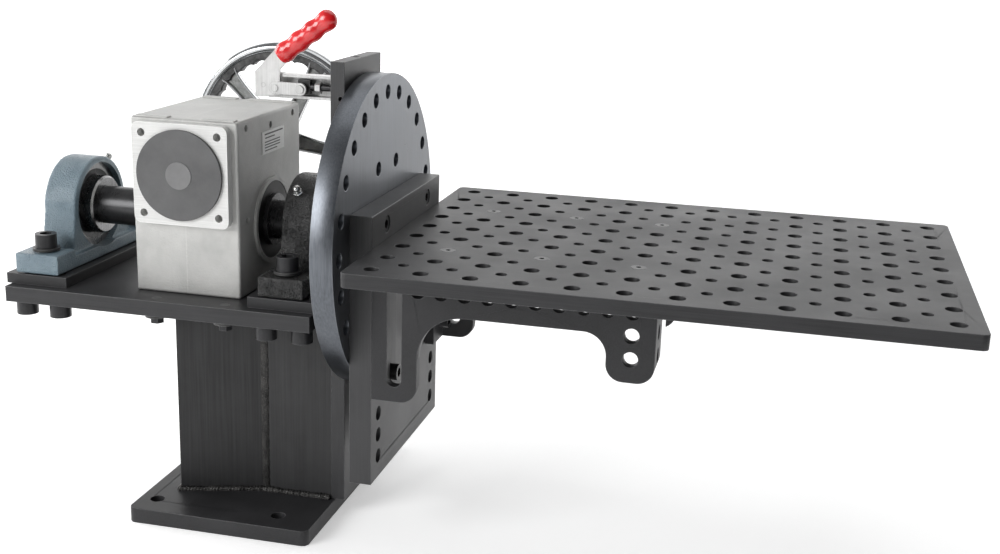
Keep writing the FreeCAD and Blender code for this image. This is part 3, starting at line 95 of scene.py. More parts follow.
def set_light():
    """A room that is bright on the drive side and dim past the table, and three soft boxes."""
    bright, dim = 0.42, 0.02
    fade_reach = 0.8
    world = bpy.data.worlds.new("studio_light")
    world.use_nodes = True
    tree = world.node_tree
    sky = tree.nodes["Background"]
    sky.inputs["Color"].default_value = WHITE
    direction = tree.nodes.new("ShaderNodeTexCoord").outputs["Generated"]
    split = tree.nodes.new("ShaderNodeSeparateXYZ")
    tree.links.new(direction, split.inputs[0])
    fade = remap(tree, split.outputs["X"], -fade_reach, fade_reach)
    fade.node.inputs["To Min"].default_value = bright
    fade.node.inputs["To Max"].default_value = dim
    tree.links.new(fade, sky.inputs["Strength"])
    bpy.context.scene.world = world
    bpy.context.scene.view_settings.view_transform = "Standard"
    soft_box("key_box", (-1.5, -2.0, 1.3), (0.0, 0.0, 0.3), 1.5, 1.3, 50.0)
    soft_box("top_box", (0.3, 0.5, 2.3), (0.25, 0.0, 0.3), 2.4, 1.6, 16.0)
    soft_box("left_strip", (-2.2, 0.3, 0.9), (0.0, 0.0, 0.4), 0.7, 1.4, 22.0)


def studio_sheet(name, corners, tone, glow, rough=0.5, level=0.5):
    """A plain pale sheet that glows a little, so that it stays white."""
    mesh = bpy.data.meshes.new(name)
    mesh.from_pydata(corners, [], [(0, 1, 2, 3)])
    sheet = bpy.data.objects.new(name, mesh)
    bpy.context.scene.collection.objects.link(sheet)
    material = bpy.data.materials.new(name)
    material.use_nodes = True
    shader = material.node_tree.nodes["Principled BSDF"]
    shader.inputs["Base Color"].default_value = (tone, tone, tone, 1.0)
    shader.inputs["Roughness"].default_value = rough
    shader.inputs["Specular IOR Level"].default_value = level
    shader.inputs["Emission Color"].default_value = WHITE
    shader.inputs["Emission Strength"].default_value = glow
    mesh.materials.append(material)
    return sheet


def set_floor():
    """The floor, and a lit white wall far behind the object."""
    side = 12.0
    floor = studio_sheet("studio_floor", [(-side, -side, 0), (side, -side, 0), (side, side, 0),
                                          (-side, side, 0)], 0.92, 0.42, rough=0.9, level=0.1)
    far = side / 3
    wide = far * 2
    wall = studio_sheet("studio_backdrop", [(-wide, far, 0), (wide, far, 0), (wide, far, far),
                                            (-wide, far, far)], 0.9, 1.0)


# ---- shared shader effects ---------------------------------------------------------------

def new_group(name, inputs, outputs):
    group = bpy.data.node_groups.new(name, "ShaderNodeTree")
    for label, value in inputs:
        kind = "NodeSocketVector" if isinstance(value, tuple) else "NodeSocketFloat"
        socket = group.interface.new_socket(name=label, in_out="INPUT", socket_type=kind)
        socket.default_value = value
    for label in outputs:
        group.interface.new_socket(name=label, in_out="OUTPUT",
                                   socket_type="NodeSocketFloat")
    start = group.nodes.new("NodeGroupInput")
    end = group.nodes.new("NodeGroupOutput")
    return group, start, end


def math_node(tree, operation, first, second, clamp=False):
    node = tree.nodes.new("ShaderNodeMath")
    node.operation = operation
    node.use_clamp = clamp
    for socket, value in zip(node.inputs, (first, second)):
        if isinstance(value, (int, float)):
            socket.default_value = value
        else:
            tree.links.new(value, socket)
    return node.outputs[0]


def noise_node(tree, vector, scale, detail=3.0, rough=0.55):
    node = tree.nodes.new("ShaderNodeTexNoise")
    node.inputs["Detail"].default_value = detail
    node.inputs["Roughness"].default_value = rough
    if isinstance(scale, (int, float)):
        node.inputs["Scale"].default_value = scale
    else:
        tree.links.new(scale, node.inputs["Scale"])
    tree.links.new(vector, node.inputs["Vector"])
    return node.outputs[0]


def remap(tree, value, low, high):
    node = tree.nodes.new("ShaderNodeMapRange")
    node.inputs["From Min"].default_value = low
    node.inputs["From Max"].default_value = high
    tree.links.new(value, node.inputs["Value"])
    return node.outputs[0]


def here(tree):
    return tree.nodes.new("ShaderNodeTexCoord").outputs["Object"]


NOISE_RANGE = (0.3, 0.7)


def make_edge_wear_and_highlight():
    """1 along outside edges and corners, broken up by a fine noise, for wear and painted
    highlight.
    """
    edge_start, edge_full = 0.01, 0.14
    noise_scale = 260.0
    group, start, end = new_group("edge_wear_and_highlight", (("Width", 0.0012), ("Break up", 0.5)),
                                  ("Mask",))
    rounded = group.nodes.new("ShaderNodeBevel")
    rounded.samples = 6
    group.links.new(start.outputs["Width"], rounded.inputs["Radius"])
    flat = group.nodes.new("ShaderNodeNewGeometry").outputs["Normal"]
    facing = group.nodes.new("ShaderNodeVectorMath")
    facing.operation = "DOT_PRODUCT"
    group.links.new(rounded.outputs[0], facing.inputs[0])
    group.links.new(flat, facing.inputs[1])
    off = math_node(group, "SUBTRACT", 1.0, facing.outputs["Value"])
    edge = remap(group, off, edge_start, edge_full)
    grain = remap(group, noise_node(group, here(group), noise_scale), *NOISE_RANGE)
    softened = math_node(group, "MULTIPLY", grain, start.outputs["Break up"])
    kept = math_node(group, "SUBTRACT", 1.0, softened)
    mask = math_node(group, "MULTIPLY", edge, kept, clamp=True)
    group.links.new(mask, end.inputs["Mask"])
    return group


def make_brushed_grain():
    """Fine parallel lines: noise squeezed across the Stretch vector."""
    group, start, end = new_group("brushed_grain", (("Stretch", (1.0, 1.0, 1.0)),
                                                    ("Scale", 900.0)), ("Lines",))
    scaled = group.nodes.new("ShaderNodeVectorMath")
    scaled.operation = "MULTIPLY"
    group.links.new(here(group), scaled.inputs[0])
    group.links.new(start.outputs["Stretch"], scaled.inputs[1])
    lines = noise_node(group, scaled.outputs[0], start.outputs["Scale"], 2.0, 0.6)
    group.links.new(lines, end.inputs["Lines"])
    return group


def make_mottling():
    """Broad clouds with smaller ones inside, for blacking, dust, handling marks and painted
    sparkle.
    """
    cloud_range, speck_range = (0.32, 0.68), (0.66, 0.78)
    speck_fineness = 60.0
    group, start, end = new_group("mottling", (("Scale", 14.0),), ("Clouds", "Specks"))
    clouds = noise_node(group, here(group), start.outputs["Scale"], 6.0, 0.62)
    group.links.new(remap(group, clouds, *cloud_range), end.inputs["Clouds"])
    fine = math_node(group, "MULTIPLY", start.outputs["Scale"], speck_fineness)
    specks = noise_node(group, here(group), fine, 1.0, 0.5)
    group.links.new(remap(group, specks, *speck_range), end.inputs["Specks"])
    return group


def make_cast_skin():
    """Sand-cast surface: pits and grains of two sizes."""
    pit_edge, pit_share = 0.55, 0.5
    group, start, end = new_group("cast_skin", (("Scale", 600.0),), ("Height", "Pits"))
    coarse = noise_node(group, here(group), start.outputs["Scale"], 4.0, 0.6)
    cells = group.nodes.new("ShaderNodeTexVoronoi")
    group.links.new(here(group), cells.inputs["Vector"])
    group.links.new(start.outputs["Scale"], cells.inputs["Scale"])
    pits = remap(group, cells.outputs["Distance"], 0.0, pit_edge)
    height = math_node(group, "ADD", coarse, math_node(group, "MULTIPLY", pits, pit_share))
    group.links.new(height, end.inputs["Height"])
    group.links.new(pits, end.inputs["Pits"])
    return group


edge_wear_and_highlight = make_edge_wear_and_highlight()
brushed_grain = make_brushed_grain()
mottling = make_mottling()
cast_skin = make_cast_skin()


def use(tree, group, **values):
    node = tree.nodes.new("ShaderNodeGroup")
    node.node_tree = group
    for label, value in values.items():
        node.inputs[label.replace("_", " ")].default_value = value
    return node.outputs


def blend_colours(tree, mask, first, second):
    node = tree.nodes.new("ShaderNodeMix")
    node.data_type = "RGBA"
    tree.links.new(mask, node.inputs["Factor"])
    for socket, value in ((node.inputs["A"], first), (node.inputs["B"], second)):
        if isinstance(value, tuple):
            socket.default_value = (*value, 1.0)
        else:
            tree.links.new(value, socket)
    return node.outputs["Result"]


SPECK_WEAR_AND_SPARKLE = (0.6, 0.6, 0.58)


def brighten(tone):
    """The colour of the bright lines in a grain."""
    gain, lift = 1.35, 0.004
    return tuple(min(1.0, value * gain + lift) for value in tone)


def finish(name, dark, light, rough, metal=0.0, grain=None, grain_scale=900.0,
           grain_depth=0.0, clouds=14.0, cast=None, cast_depth=0.0, edge=None,
           edge_width=0.0012, rough_spread=0.12, specks=0.0, coat=0.0, level=0.5):
    """One surface finish: two base tones in clouds, grain or cast skin, and worn edges with a
    painted highlight.

    A grain is the stretch of its lines, a cast is the scale of its pits, and the depths and
    the edge width are in metres.
    """
    streak_share = 0.45
    grain_roughness = 0.1
    coat_roughness = 0.12
    material = bpy.data.materials.new(name)
    material.use_nodes = True
    tree = material.node_tree
    shader = tree.nodes["Principled BSDF"]
    shader.inputs["Metallic"].default_value = metal
    shader.inputs["Coat Weight"].default_value = coat
    shader.inputs["Coat Roughness"].default_value = coat_roughness
    shader.inputs["Specular IOR Level"].default_value = level
    cloud = use(tree, mottling, Scale=clouds)
    colour = blend_colours(tree, cloud["Clouds"], dark, light)
    roughness = math_node(tree, "MULTIPLY_ADD", cloud["Clouds"], rough_spread)
    roughness.node.inputs[2].default_value = rough - rough_spread / 2
    height = None
    depth = 0.0
    if grain is not None:
        lines = use(tree, brushed_grain, Stretch=grain, Scale=grain_scale)["Lines"]
        streak = remap(tree, lines, *NOISE_RANGE)
        streak = math_node(tree, "MULTIPLY", streak, streak_share)
        colour = blend_colours(tree, streak, colour, brighten(light))
        roughness = math_node(tree, "ADD", roughness,
                              math_node(tree, "MULTIPLY", lines, grain_roughness))
        height = lines
        depth = grain_depth
    if cast is not None:
        skin = use(tree, cast_skin, Scale=cast)
        height = skin["Height"]
        depth = cast_depth
    # Light specks: worn spots, and on the black casting also a painted sparkle.
    if specks:
        speck = math_node(tree, "MULTIPLY", cloud["Specks"], specks)
        colour = blend_colours(tree, speck, colour, SPECK_WEAR_AND_SPARKLE)
    # The edge colour is wear on the edges and also a painted highlight along them.
    if edge is not None:
        wear_and_highlight = use(tree, edge_wear_and_highlight, Width=edge_width)["Mask"]
        colour = blend_colours(tree, wear_and_highlight, colour, edge)
    tree.links.new(colour, shader.inputs["Base Color"])
    tree.links.new(roughness, shader.inputs["Roughness"])
    if height is not None:
        bump = tree.nodes.new("ShaderNodeBump")
        bump.inputs["Strength"].default_value = 1.0
        bump.inputs["Distance"].default_value = depth
        tree.links.new(height, bump.inputs["Height"])
        tree.links.new(bump.outputs["Normal"], shader.inputs["Normal"])
    return material


# ---- finishes ----------------------------------------------------------------------------

ALONG_X = (0.02, 1.0, 1.0)
ALONG_Y = (1.0, 0.02, 1.0)
ALONG_Z = (1.0, 1.0, 0.02)
# Edge colour of the black plates: worn edges and a painted highlight along them.
EDGE_WEAR_AND_HIGHLIGHT_BLACK = (0.20, 0.20, 0.205)

# Where an edge colour is lighter than its surface, it is wear and also a painted highlight.
plate_black = finish("blackened_plate", (0.013, 0.013, 0.014), (0.028, 0.028, 0.030), 0.42,
                     grain=ALONG_X, grain_depth=0.00002, edge=EDGE_WEAR_AND_HIGHLIGHT_BLACK,
                     clouds=9.0, level=0.36)
plate_across = finish("blackened_plate_across", (0.013, 0.013, 0.014), (0.029, 0.029, 0.031),
                      0.42, grain=ALONG_Y, grain_depth=0.00002, edge=EDGE_WEAR_AND_HIGHLIGHT_BLACK,
                      clouds=11.0, level=0.36)
plate_upright = finish("blackened_plate_upright", (0.015, 0.015, 0.016), (0.032, 0.032, 0.034),
                       0.38, grain=ALONG_Z, grain_depth=0.00002, edge=(0.24, 0.24, 0.245),
                       clouds=11.0)
disc_black = finish("blackened_disc", (0.065, 0.070, 0.079), (0.14, 0.15, 0.166), 0.28,
                    grain=ALONG_Z, grain_scale=700.0, grain_depth=0.00001, metal=0.9,
                    edge=(0.42, 0.43, 0.45), clouds=9.0)
column_black = finish("column_plate", (0.010, 0.010, 0.0105), (0.030, 0.030, 0.031), 0.42,
                      grain=ALONG_Z, grain_scale=420.0, grain_depth=0.00003,
                      edge=(0.09, 0.09, 0.09), clouds=8.0, level=0.36)
weld_metal = finish("weld_metal", (0.012, 0.012, 0.012), (0.06, 0.058, 0.056), 0.34, metal=0.7,
                    cast=900.0, cast_depth=0.0006, clouds=60.0, specks=0.9)
blue_cast = finish("blue_painted_casting", (0.10, 0.15, 0.185), (0.19, 0.255, 0.295), 0.34,
                   cast=520.0, cast_depth=0.0011, clouds=30.0, edge=(0.28, 0.34, 0.38),
                   edge_width=0.0018, coat=0.15)
# Its light specks are partly a painted sparkle of glints on the casting.
black_cast = finish("black_casting", (0.012, 0.012, 0.012), (0.055, 0.055, 0.055), 0.26,
                    cast=620.0, cast_depth=0.0014, clouds=45.0, metal=0.4,
                    edge=(0.13, 0.13, 0.13), edge_width=0.0018, specks=0.25)
ring_steel = finish("bearing_ring", (0.16, 0.16, 0.162), (0.28, 0.28, 0.28), 0.22, metal=1.0,
                    grain=ALONG_Z, grain_depth=0.000004, edge=(0.4, 0.4, 0.4))
screw_black = finish("blackened_screw", (0.010, 0.010, 0.011), (0.030, 0.030, 0.032), 0.30,
                     metal=0.3, grain=ALONG_Z, grain_scale=1500.0, grain_depth=0.00004,
                     edge=(0.14, 0.14, 0.145), clouds=40.0, level=0.35)
washer_black = finish("blackened_washer", (0.02, 0.02, 0.02), (0.05, 0.05, 0.05), 0.4,
                      metal=0.3, edge=(0.18, 0.18, 0.18), clouds=40.0)
bright_zinc = finish("bright_zinc", (0.42, 0.43, 0.43), (0.62, 0.62, 0.60), 0.25, metal=1.0,
                     edge=(0.8, 0.8, 0.8), clouds=60.0)
shaft_dark = finish("ground_shaft", (0.02, 0.02, 0.021), (0.05, 0.05, 0.052), 0.24, metal=0.6,
                    grain=(1.0, 0.15, 0.15), grain_scale=1200.0, grain_depth=0.000006,
                    edge=(0.2, 0.2, 0.2), clouds=20.0)
bronze = finish("gear_bronze", (0.36, 0.22, 0.08), (0.5, 0.33, 0.14), 0.35, metal=1.0,
                edge=(0.7, 0.5, 0.25))
sand_aluminium = finish("sand_cast_aluminium", (0.40, 0.40, 0.39), (0.53, 0.53, 0.515), 0.5,
                        metal=0.3, cast=420.0, cast_depth=0.0003, clouds=22.0,
                        edge=(0.58, 0.58, 0.565), edge_width=0.0016, specks=0.12)
machined_flange = finish("machined_flange", (0.54, 0.54, 0.53), (0.63, 0.63, 0.62), 0.36,
                         metal=0.1, grain=ALONG_X, grain_depth=0.00001, clouds=18.0,
                         edge=(0.9, 0.9, 0.9))
cap_grey = finish("satin_cap", (0.072, 0.072, 0.074), (0.105, 0.105, 0.107), 0.46,
                  cast=1400.0, cast_depth=0.00008, clouds=26.0, edge=(0.03, 0.03, 0.03))
plain_disc = finish("plain_disc", (0.15, 0.15, 0.152), (0.19, 0.19, 0.192), 0.4, clouds=40.0,
                    cast=1400.0, cast_depth=0.00005)
blank_label = finish("blank_label", (0.80, 0.80, 0.78), (0.90, 0.90, 0.88), 0.4,
                     clouds=60.0, edge=(0.55, 0.55, 0.55))
shield_black = finish("bearing_shield", (0.012, 0.012, 0.012), (0.03, 0.03, 0.03), 0.3,
                      metal=0.4, clouds=50.0, edge=(0.2, 0.2, 0.2))
label_ink = finish("label_ink", (0.05, 0.05, 0.05), (0.09, 0.09, 0.09), 0.6, clouds=50.0,
                   edge=(0.06, 0.06, 0.06))
seal_black = finish("seal_rubber", (0.004, 0.004, 0.004), (0.012, 0.012, 0.012), 0.4,
                    clouds=50.0, edge=(0.03, 0.03, 0.03), level=0.2)
chrome = finish("polished_chrome", (0.36, 0.37, 0.38), (0.56, 0.57, 0.58), 0.10, metal=1.0,
                rough_spread=0.05, clouds=18.0, edge=(0.9, 0.9, 0.9))
chrome_inside = finish("unpolished_spoke_back", (0.16, 0.16, 0.16), (0.36, 0.37, 0.36),
                       0.42, metal=0.5, cast=700.0, cast_depth=0.0008, clouds=70.0)
rough_back = finish("unpolished_rim_back", (0.03, 0.03, 0.03), (0.13, 0.13, 0.13), 0.42,
                    metal=0.5, cast=700.0, cast_depth=0.0008, clouds=80.0, specks=0.2)
clamp_zinc = finish("zinc_clamp_plate", (0.44, 0.44, 0.435), (0.58, 0.58, 0.575), 0.3,
                    metal=0.6, clouds=50.0, edge=(0.30, 0.30, 0.30), edge_width=0.0008,
                    grain=ALONG_Z, grain_depth=0.000006)
clamp_dark = finish("blackened_rod", (0.02, 0.02, 0.021), (0.06, 0.06, 0.062), 0.3, metal=0.6,
                    edge=(0.25, 0.25, 0.25), clouds=50.0)
red_vinyl = finish("red_vinyl", (0.60, 0.006, 0.010), (0.76, 0.014, 0.018), 0.22,
                   rough_spread=0.06, clouds=60.0, coat=0.6, level=0.6)

finishes = {
    plate_black: ("platform_plate", "table_top"),
    plate_across: ("base_plate", "riser_left", "riser_right", "arm_near", "arm_far"),
    plate_upright: ("index_plate", "carrier_plate"),
    disc_black: ("index_disc",),
    column_black: ("column_front_plate", "column_rear_plate", "splay_front_plate",
                   "splay_rear_plate", "column_left_plate"),
    ring_steel: ("bearing_outer_rings", "bearing_inner_rings", "bearing_balls",
                 "output_bearings", "worm_bearings"),
    screw_black: ("foot_bolts", "riser_screws", "platform_screws", "gearbox_foot_screws",
                  "housing_screws", "disc_screws", "arm_screws", "table_screws",
                  "bearing_set_screws", "oil_plug"),
    washer_black: ("foot_washers", "riser_washers", "platform_washers"),
    shaft_dark: ("main_shaft", "shaft_key", "hollow_sleeve", "worm_shaft"),
    bronze: ("worm_wheel",),
    sand_aluminium: ("gearbox_half_left", "gearbox_half_right"),
    machined_flange: ("input_flange",),
    cap_grey: ("input_cap",),
    plain_disc: ("cap_disc",),
    blank_label: ("rating_plate",),
    seal_black: ("gearbox_seals",),
    chrome: ("handwheel_nut",),
    clamp_zinc: ("clamp_frame", "clamp_handle", "clamp_link", "clamp_pivot", "clamp_rivet",
                 "clamp_nut"),
    clamp_dark: ("clamp_rod", "index_pin"),
}


def dress_nodes():
    for material, names in finishes.items():
        for name in names:
            slots = nodes[name].material_slots
            if not slots:
                nodes[name].data.materials.append(material)
            for place in nodes[name].material_slots:
                place.material = material


def ease_edges():
    """Small bevels on the flat plates that show."""
    edge_bevel = 0.6 * MM
    same_place = 0.01 * MM
    plates = ("base_plate", "platform_plate", "index_plate", "riser_left", "riser_right",
              "carrier_plate", "table_top", "arm_near", "arm_far", "index_disc")
    for name in plates:
        weld = nodes[name].modifiers.new("weld", "WELD")
        weld.merge_threshold = same_place
        bevel = nodes[name].modifiers.new("bevel", "BEVEL")
        bevel.width = edge_bevel
        bevel.segments = 2
        bevel.limit_method = "ANGLE"
        bevel.angle_limit = math.radians(50)
        bevel.use_clamp_overlap = False


# ---- mesh helpers ------------------------------------------------------------------------

def new_piece(name, verts, faces, body, slot, *materials, smooth=True):
    mesh = bpy.data.meshes.new(name)
    mesh.from_pydata([tuple(v) for v in verts], [], faces)
    mesh.validate()
    mesh.update()
    for material in materials:
        mesh.materials.append(material)
    piece = bpy.data.objects.new(name, mesh)
    bpy.context.scene.collection.objects.link(piece)
    if smooth:
        mesh.shade_smooth()
    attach(piece, body)
    return piece


def rings_to_faces(rings, count, loop=False):
    """Faces that join rings of equally many points, each ring closed on itself.

    The last ring joins the first one in a loop. Otherwise both end rings get a flat face.
    """
    faces = []
    for i in range(rings if loop else rings - 1):
        for j in range(count):
            a = i * count + j
            b = i * count + (j + 1) % count
            c = ((i + 1) % rings) * count + (j + 1) % count
            d = ((i + 1) % rings) * count + j
            faces.append((a, b, c, d))
    if not loop:
        faces.append(tuple(reversed(range(count))))
        faces.append(tuple((rings - 1) * count + j for j in range(count)))
    return faces


def face_outwards(piece):
    work = bmesh.new()
    work.from_mesh(piece.data)
    bmesh.ops.recalc_face_normals(work, faces=work.faces)
    work.to_mesh(piece.data)
    work.free()


def sharpen(piece, degrees):
    piece.data.set_sharp_from_angle(angle=math.radians(degrees))


# ---- handwheel ---------------------------------------------------------------------------

def make_handwheel():
    """Rim, notched web, hub and five spokes, about the worm's axis."""
    rim_deep = 22 * MM
    hub_long = 38 * MM
    spoke_end = 16 * MM
    spoke_count = 5
    first_spoke = 133
    low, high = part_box("handwheel")
    centre = Vector((middle("input_cap").x, 0.0, middle("input_cap").z))
    outer = high[2] - centre.z
    rim_mid = high[1] - rim_deep / 2
    make_rim(centre, outer, rim_mid)
    make_hub(centre, low[1], low[1] + hub_long)
    for k in range(spoke_count):
        turn = first_spoke - k * 360 / spoke_count
        make_spoke(centre, math.radians(turn), outer - spoke_end, rim_mid)


def make_rim(centre, outer, rim_mid):
    """Polished outer rim and, inside it, the rough web with its finger notches."""
    steps, around = 240, 20
    radial, axial = 6.8 * MM, 10.8 * MM
    squareness = 0.8
    web_overlap = 2 * MM
    radius = outer - radial
    verts = []
    for i in range(steps):
        angle = math.tau * i / steps
        for j in range(around):
            lean = math.tau * j / around
            squared = math.copysign(abs(math.cos(lean)) ** squareness, math.cos(lean))
            reach = radius + radial * squared
            verts.append((centre.x + reach * math.cos(angle),
                          rim_mid + axial * math.sin(lean),
                          centre.z + reach * math.sin(angle)))
    rim = new_piece("handwheel_rim", verts, rings_to_faces(steps, around, loop=True),
                    "handwheel_drive", "wheel_chrome", chrome)
    face_outwards(rim)
    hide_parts("handwheel")
    make_notched_web(centre, radius - web_overlap, rim_mid)


def make_notched_web(centre, outer, rim_mid):
    steps = 480
    notches = 32
    notch_depth, notch_shape = 2.6 * MM, 0.7
    web_high = 14.5 * MM
    half_deep = 7.0 * MM
    bevel_high, bevel_deep = 1.5 * MM, 1.4 * MM
    verts = []
    for i in range(steps):
        angle = math.tau * i / steps
        notch = notch_depth * abs(math.sin(notches * angle / 2)) ** notch_shape
        inner = outer - web_high + notch
        section = ((outer, -half_deep), (inner + bevel_high, -half_deep),
                   (inner, bevel_deep - half_deep), (inner, half_deep - bevel_deep),
                   (inner + bevel_high, half_deep), (outer, half_deep))
        for reach, along in section:
            verts.append((centre.x + reach * math.cos(angle), rim_mid + along,
                          centre.z + reach * math.sin(angle)))
    web = new_piece("handwheel_web", verts, rings_to_faces(steps, len(section), loop=True),
                    "handwheel_drive", "wheel_chrome", rough_back)
    face_outwards(web)
    sharpen(web, 35)
    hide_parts("handwheel")


def lathe(name, origin, axis, profile, body, slot, material, steps=64, angle=35):
    """A turned piece: profile is (distance along the axis, radius) in millimetres."""
    axis = Vector(axis).normalized()
    side = axis.orthogonal().normalized()
    other = axis.cross(side)
    verts = []
    for along, radius in profile:
        for j in range(steps):
            turn = math.tau * j / steps
            spread = side * math.cos(turn) + other * math.sin(turn)
            verts.append(Vector(origin) + axis * along * MM + spread * radius * MM)
    piece = new_piece(name, verts, rings_to_faces(len(profile), steps), body, slot, material)
    face_outwards(piece)
    sharpen(piece, angle)
    return piece


def make_hub(centre, front, rear):
    length = (rear - front) / MM
    profile = [(0, 11), (0, 20), (1.2, 21.4), (9, 22.6), (length - 12, 23),
               (length - 3, 22), (length - 1, 20.5), (length, 18.5), (length, 11)]
    hub = lathe("handwheel_hub", (centre.x, front, centre.z), (0, 1, 0), profile,
                "handwheel_drive", "wheel_chrome", chrome, steps=72)
    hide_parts("handwheel")


def make_spoke(centre, turn, reach, rim_mid):
    """A channel-section spoke: polished sides, its hollow facing the gearbox."""
    out = Vector((math.cos(turn), 0.0, math.sin(turn)))
    side = Vector((-math.sin(turn), 0.0, math.cos(turn)))
    back = Vector((0.0, 1.0, 0.0))
    start = 19 * MM
    stations = 14
    half_wide = 8.4 * MM
    hub_flare, rim_flare = 0.42, 0.55
    hub_deep, taper = 15.0 * MM, 4.0 * MM
    front_at_rim, front_lean = 7.5 * MM, 3.0 * MM
    wall = 2.6 * MM
    lip = 0.6 * MM
    corner, corner_deep = 0.5 * MM, 0.8 * MM
    slope = 1.2 * MM
    floor = 4.0 * MM
    back_round = 3.0 * MM
    shoulder_share, back_share = 0.96, 0.7
    verts = []
    for i in range(stations):
        share = i / (stations - 1)
        half = half_wide * (1.0 + hub_flare * (1 - share) ** 3 + rim_flare * share ** 8)
        depth = hub_deep - taper * share
        inner = half - wall
        front = rim_mid - front_at_rim - front_lean * (1 - share)
        line = [(-half, lip), (-half + lip, 0), (-inner - corner, 0), (-inner, corner_deep),
                (-inner + slope, floor), (inner - slope, floor), (inner, corner_deep),
                (inner + corner, 0), (half - lip, 0), (half, lip),
                (half * shoulder_share, depth - back_round), (half * back_share, depth),
                (-half * back_share, depth), (-half * shoulder_share, depth - back_round)]
        base = centre + out * (start + (reach - start) * share)
        for across, deep in line:
            verts.append(base + side * across + back * (front + deep))
    count = len(line)
    faces = rings_to_faces(stations, count)
    spoke = new_piece("handwheel_spoke_%d" % round(math.degrees(turn) % 360), verts, faces,
                      "handwheel_drive", "wheel_chrome", chrome, chrome_inside)
    channel_sides = (3, 4, 5)
    for i, face in enumerate(spoke.data.polygons):
        if i < (stations - 1) * count and i % count in channel_sides:
            face.material_index = 1
    face_outwards(spoke)
    sharpen(spoke, 40)
    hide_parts("handwheel")


# ---- grip --------------------------------------------------------------------------------

def make_grip():
    """Dipped vinyl grip with four finger swells, flatter across than along the lever."""
    lean = math.radians(37)
    length = 81 * MM
    thin, swell_high = 10.4 * MM, 1.5 * MM
    swells, swell_start = 4.05, 0.05
    flatness = 0.80
    mouth_size, mouth_slope = 0.90, 3.0
    tip_from, tip_size = 0.90, 0.02
    rings, around = 90, 40
    axis = Vector((math.cos(lean), 0.0, math.sin(lean)))
    side = Vector((-math.sin(lean), 0.0, math.cos(lean)))
    across = Vector((0.0, 1.0, 0.0))
    start = middle("clamp_grip") - axis * (length / 2)
    verts = []
    for i in range(rings):
        share = i / (rings - 1)
        swell = 0.5 - 0.5 * math.cos(math.tau * (share * swells + swell_start))
        mouth = min(1.0, mouth_size + share * mouth_slope)
        past_tip = max(0.0, (share - tip_from) / (1.0 - tip_from))
        tip = max(math.sqrt(max(0.0, 1.0 - past_tip ** 2)), tip_size)
        radius = (thin + swell_high * swell) * mouth * tip
        for j in range(around):
            turn = math.tau * j / around
            spread = side * math.cos(turn) + across * math.sin(turn) * flatness
            verts.append(start + axis * (length * share) + spread * radius)
    grip = new_piece("vinyl_grip", verts, rings_to_faces(rings, around), "clamp_lever",
                     "red_vinyl", red_vinyl)
    face_outwards(grip)
    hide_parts("clamp_grip")


# ---- weld beads --------------------------------------------------------------------------

def grid_faces(rows, count):
    """Faces of an open sheet of points, row after row."""
    faces = []
    for i in range(rows - 1):
        for j in range(count - 1):
            a = i * count + j
            faces.append((a, a + 1, a + count + 1, a + count))
    return faces


def make_bead(name, path, outward, up, radius, ripple, seed):
    """A laid bead: a half-round that ripples along its path."""
    ring_gap = 1.1 * MM
    wave_turn = 1.9
    drift_kept, drift_step = 0.85, 0.08
    roughness = 0.7
    count = 10
    sweep_from, sweep = -math.pi / 8, math.pi * 0.75
    chance = random.Random(seed)
    path = [Vector(p) for p in path]
    lengths = [(path[i + 1] - path[i]).length for i in range(len(path) - 1)]
    total = sum(lengths)
    steps = max(24, int(total / ring_gap))
    verts = []
    drift = 0.0
    for i in range(steps):
        way = total * i / (steps - 1)
        k = 0
        while k < len(lengths) - 1 and way > lengths[k]:
            way -= lengths[k]
            k += 1
        point = path[k].lerp(path[k + 1], min(1.0, way / lengths[k]))
        drift = drift * drift_kept + chance.uniform(-drift_step, drift_step)
        rough = chance.uniform(-ripple, ripple) * roughness
        size = radius * (1.0 + ripple * math.sin(i * wave_turn) + drift + rough)
        for j in range(count):
            turn = sweep_from + sweep * j / (count - 1)
            verts.append(point + outward[k] * (math.cos(turn) * size)
                         + up * (math.sin(turn) * size))
    faces = grid_faces(steps, count)
    for i in range(steps - 1):
        faces.append((i * count + count - 1, i * count, (i + 1) * count,
                      (i + 1) * count + count - 1))
    faces.append(tuple(range(count)))
    faces.append(tuple((steps - 1) * count + j for j in range(count)))
    bead = new_piece(name, verts, faces, "stand", "weld", weld_metal)
    face_outwards(bead)
    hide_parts("weld_beads")


def make_weld_beads():
    """Beads round the column's foot, and a seam up each edge where the plates splay."""
    bead_size = 4.8 * MM
    ripple = 0.10
    plate_gap = 1 * MM
    seam_start, seam_stop = 4 * MM, 0.2 * MM
    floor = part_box("base_plate")[1][2]
    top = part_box("platform_plate")[0][2]
    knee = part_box("column_front_plate")[0][0]
    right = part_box("index_plate")[0][0]
    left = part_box("column_left_plate")[0][0]
    half = -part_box("column_front_plate")[0][1]
    far = -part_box("splay_front_plate")[0][1]
    up = Vector((0, 0, 1))
    run = Vector((knee - left, half - far, 0)).normalized()
    for side, word in ((-1, "front"), (1, "rear")):
        straight = Vector((0, side, 0))
        splayed = Vector((-abs(run.y), side * abs(run.x), 0)).normalized()
        path = [(right - plate_gap, half * side, floor), (knee, half * side, floor),
                (left, far * side, floor)]
        make_bead("foot_bead_" + word, path, [straight, splayed], up, bead_size, ripple,
                  11 + side)
        seam = [(knee, half * side, floor + seam_start), (knee, half * side, top - seam_stop)]
        make_seam("seam_" + word, seam, side, 31 + side)
    path = [(left, far, floor), (left, -far, floor)]
    make_bead("foot_bead_left", path, [Vector((-1, 0, 0))], up, bead_size, ripple, 17)


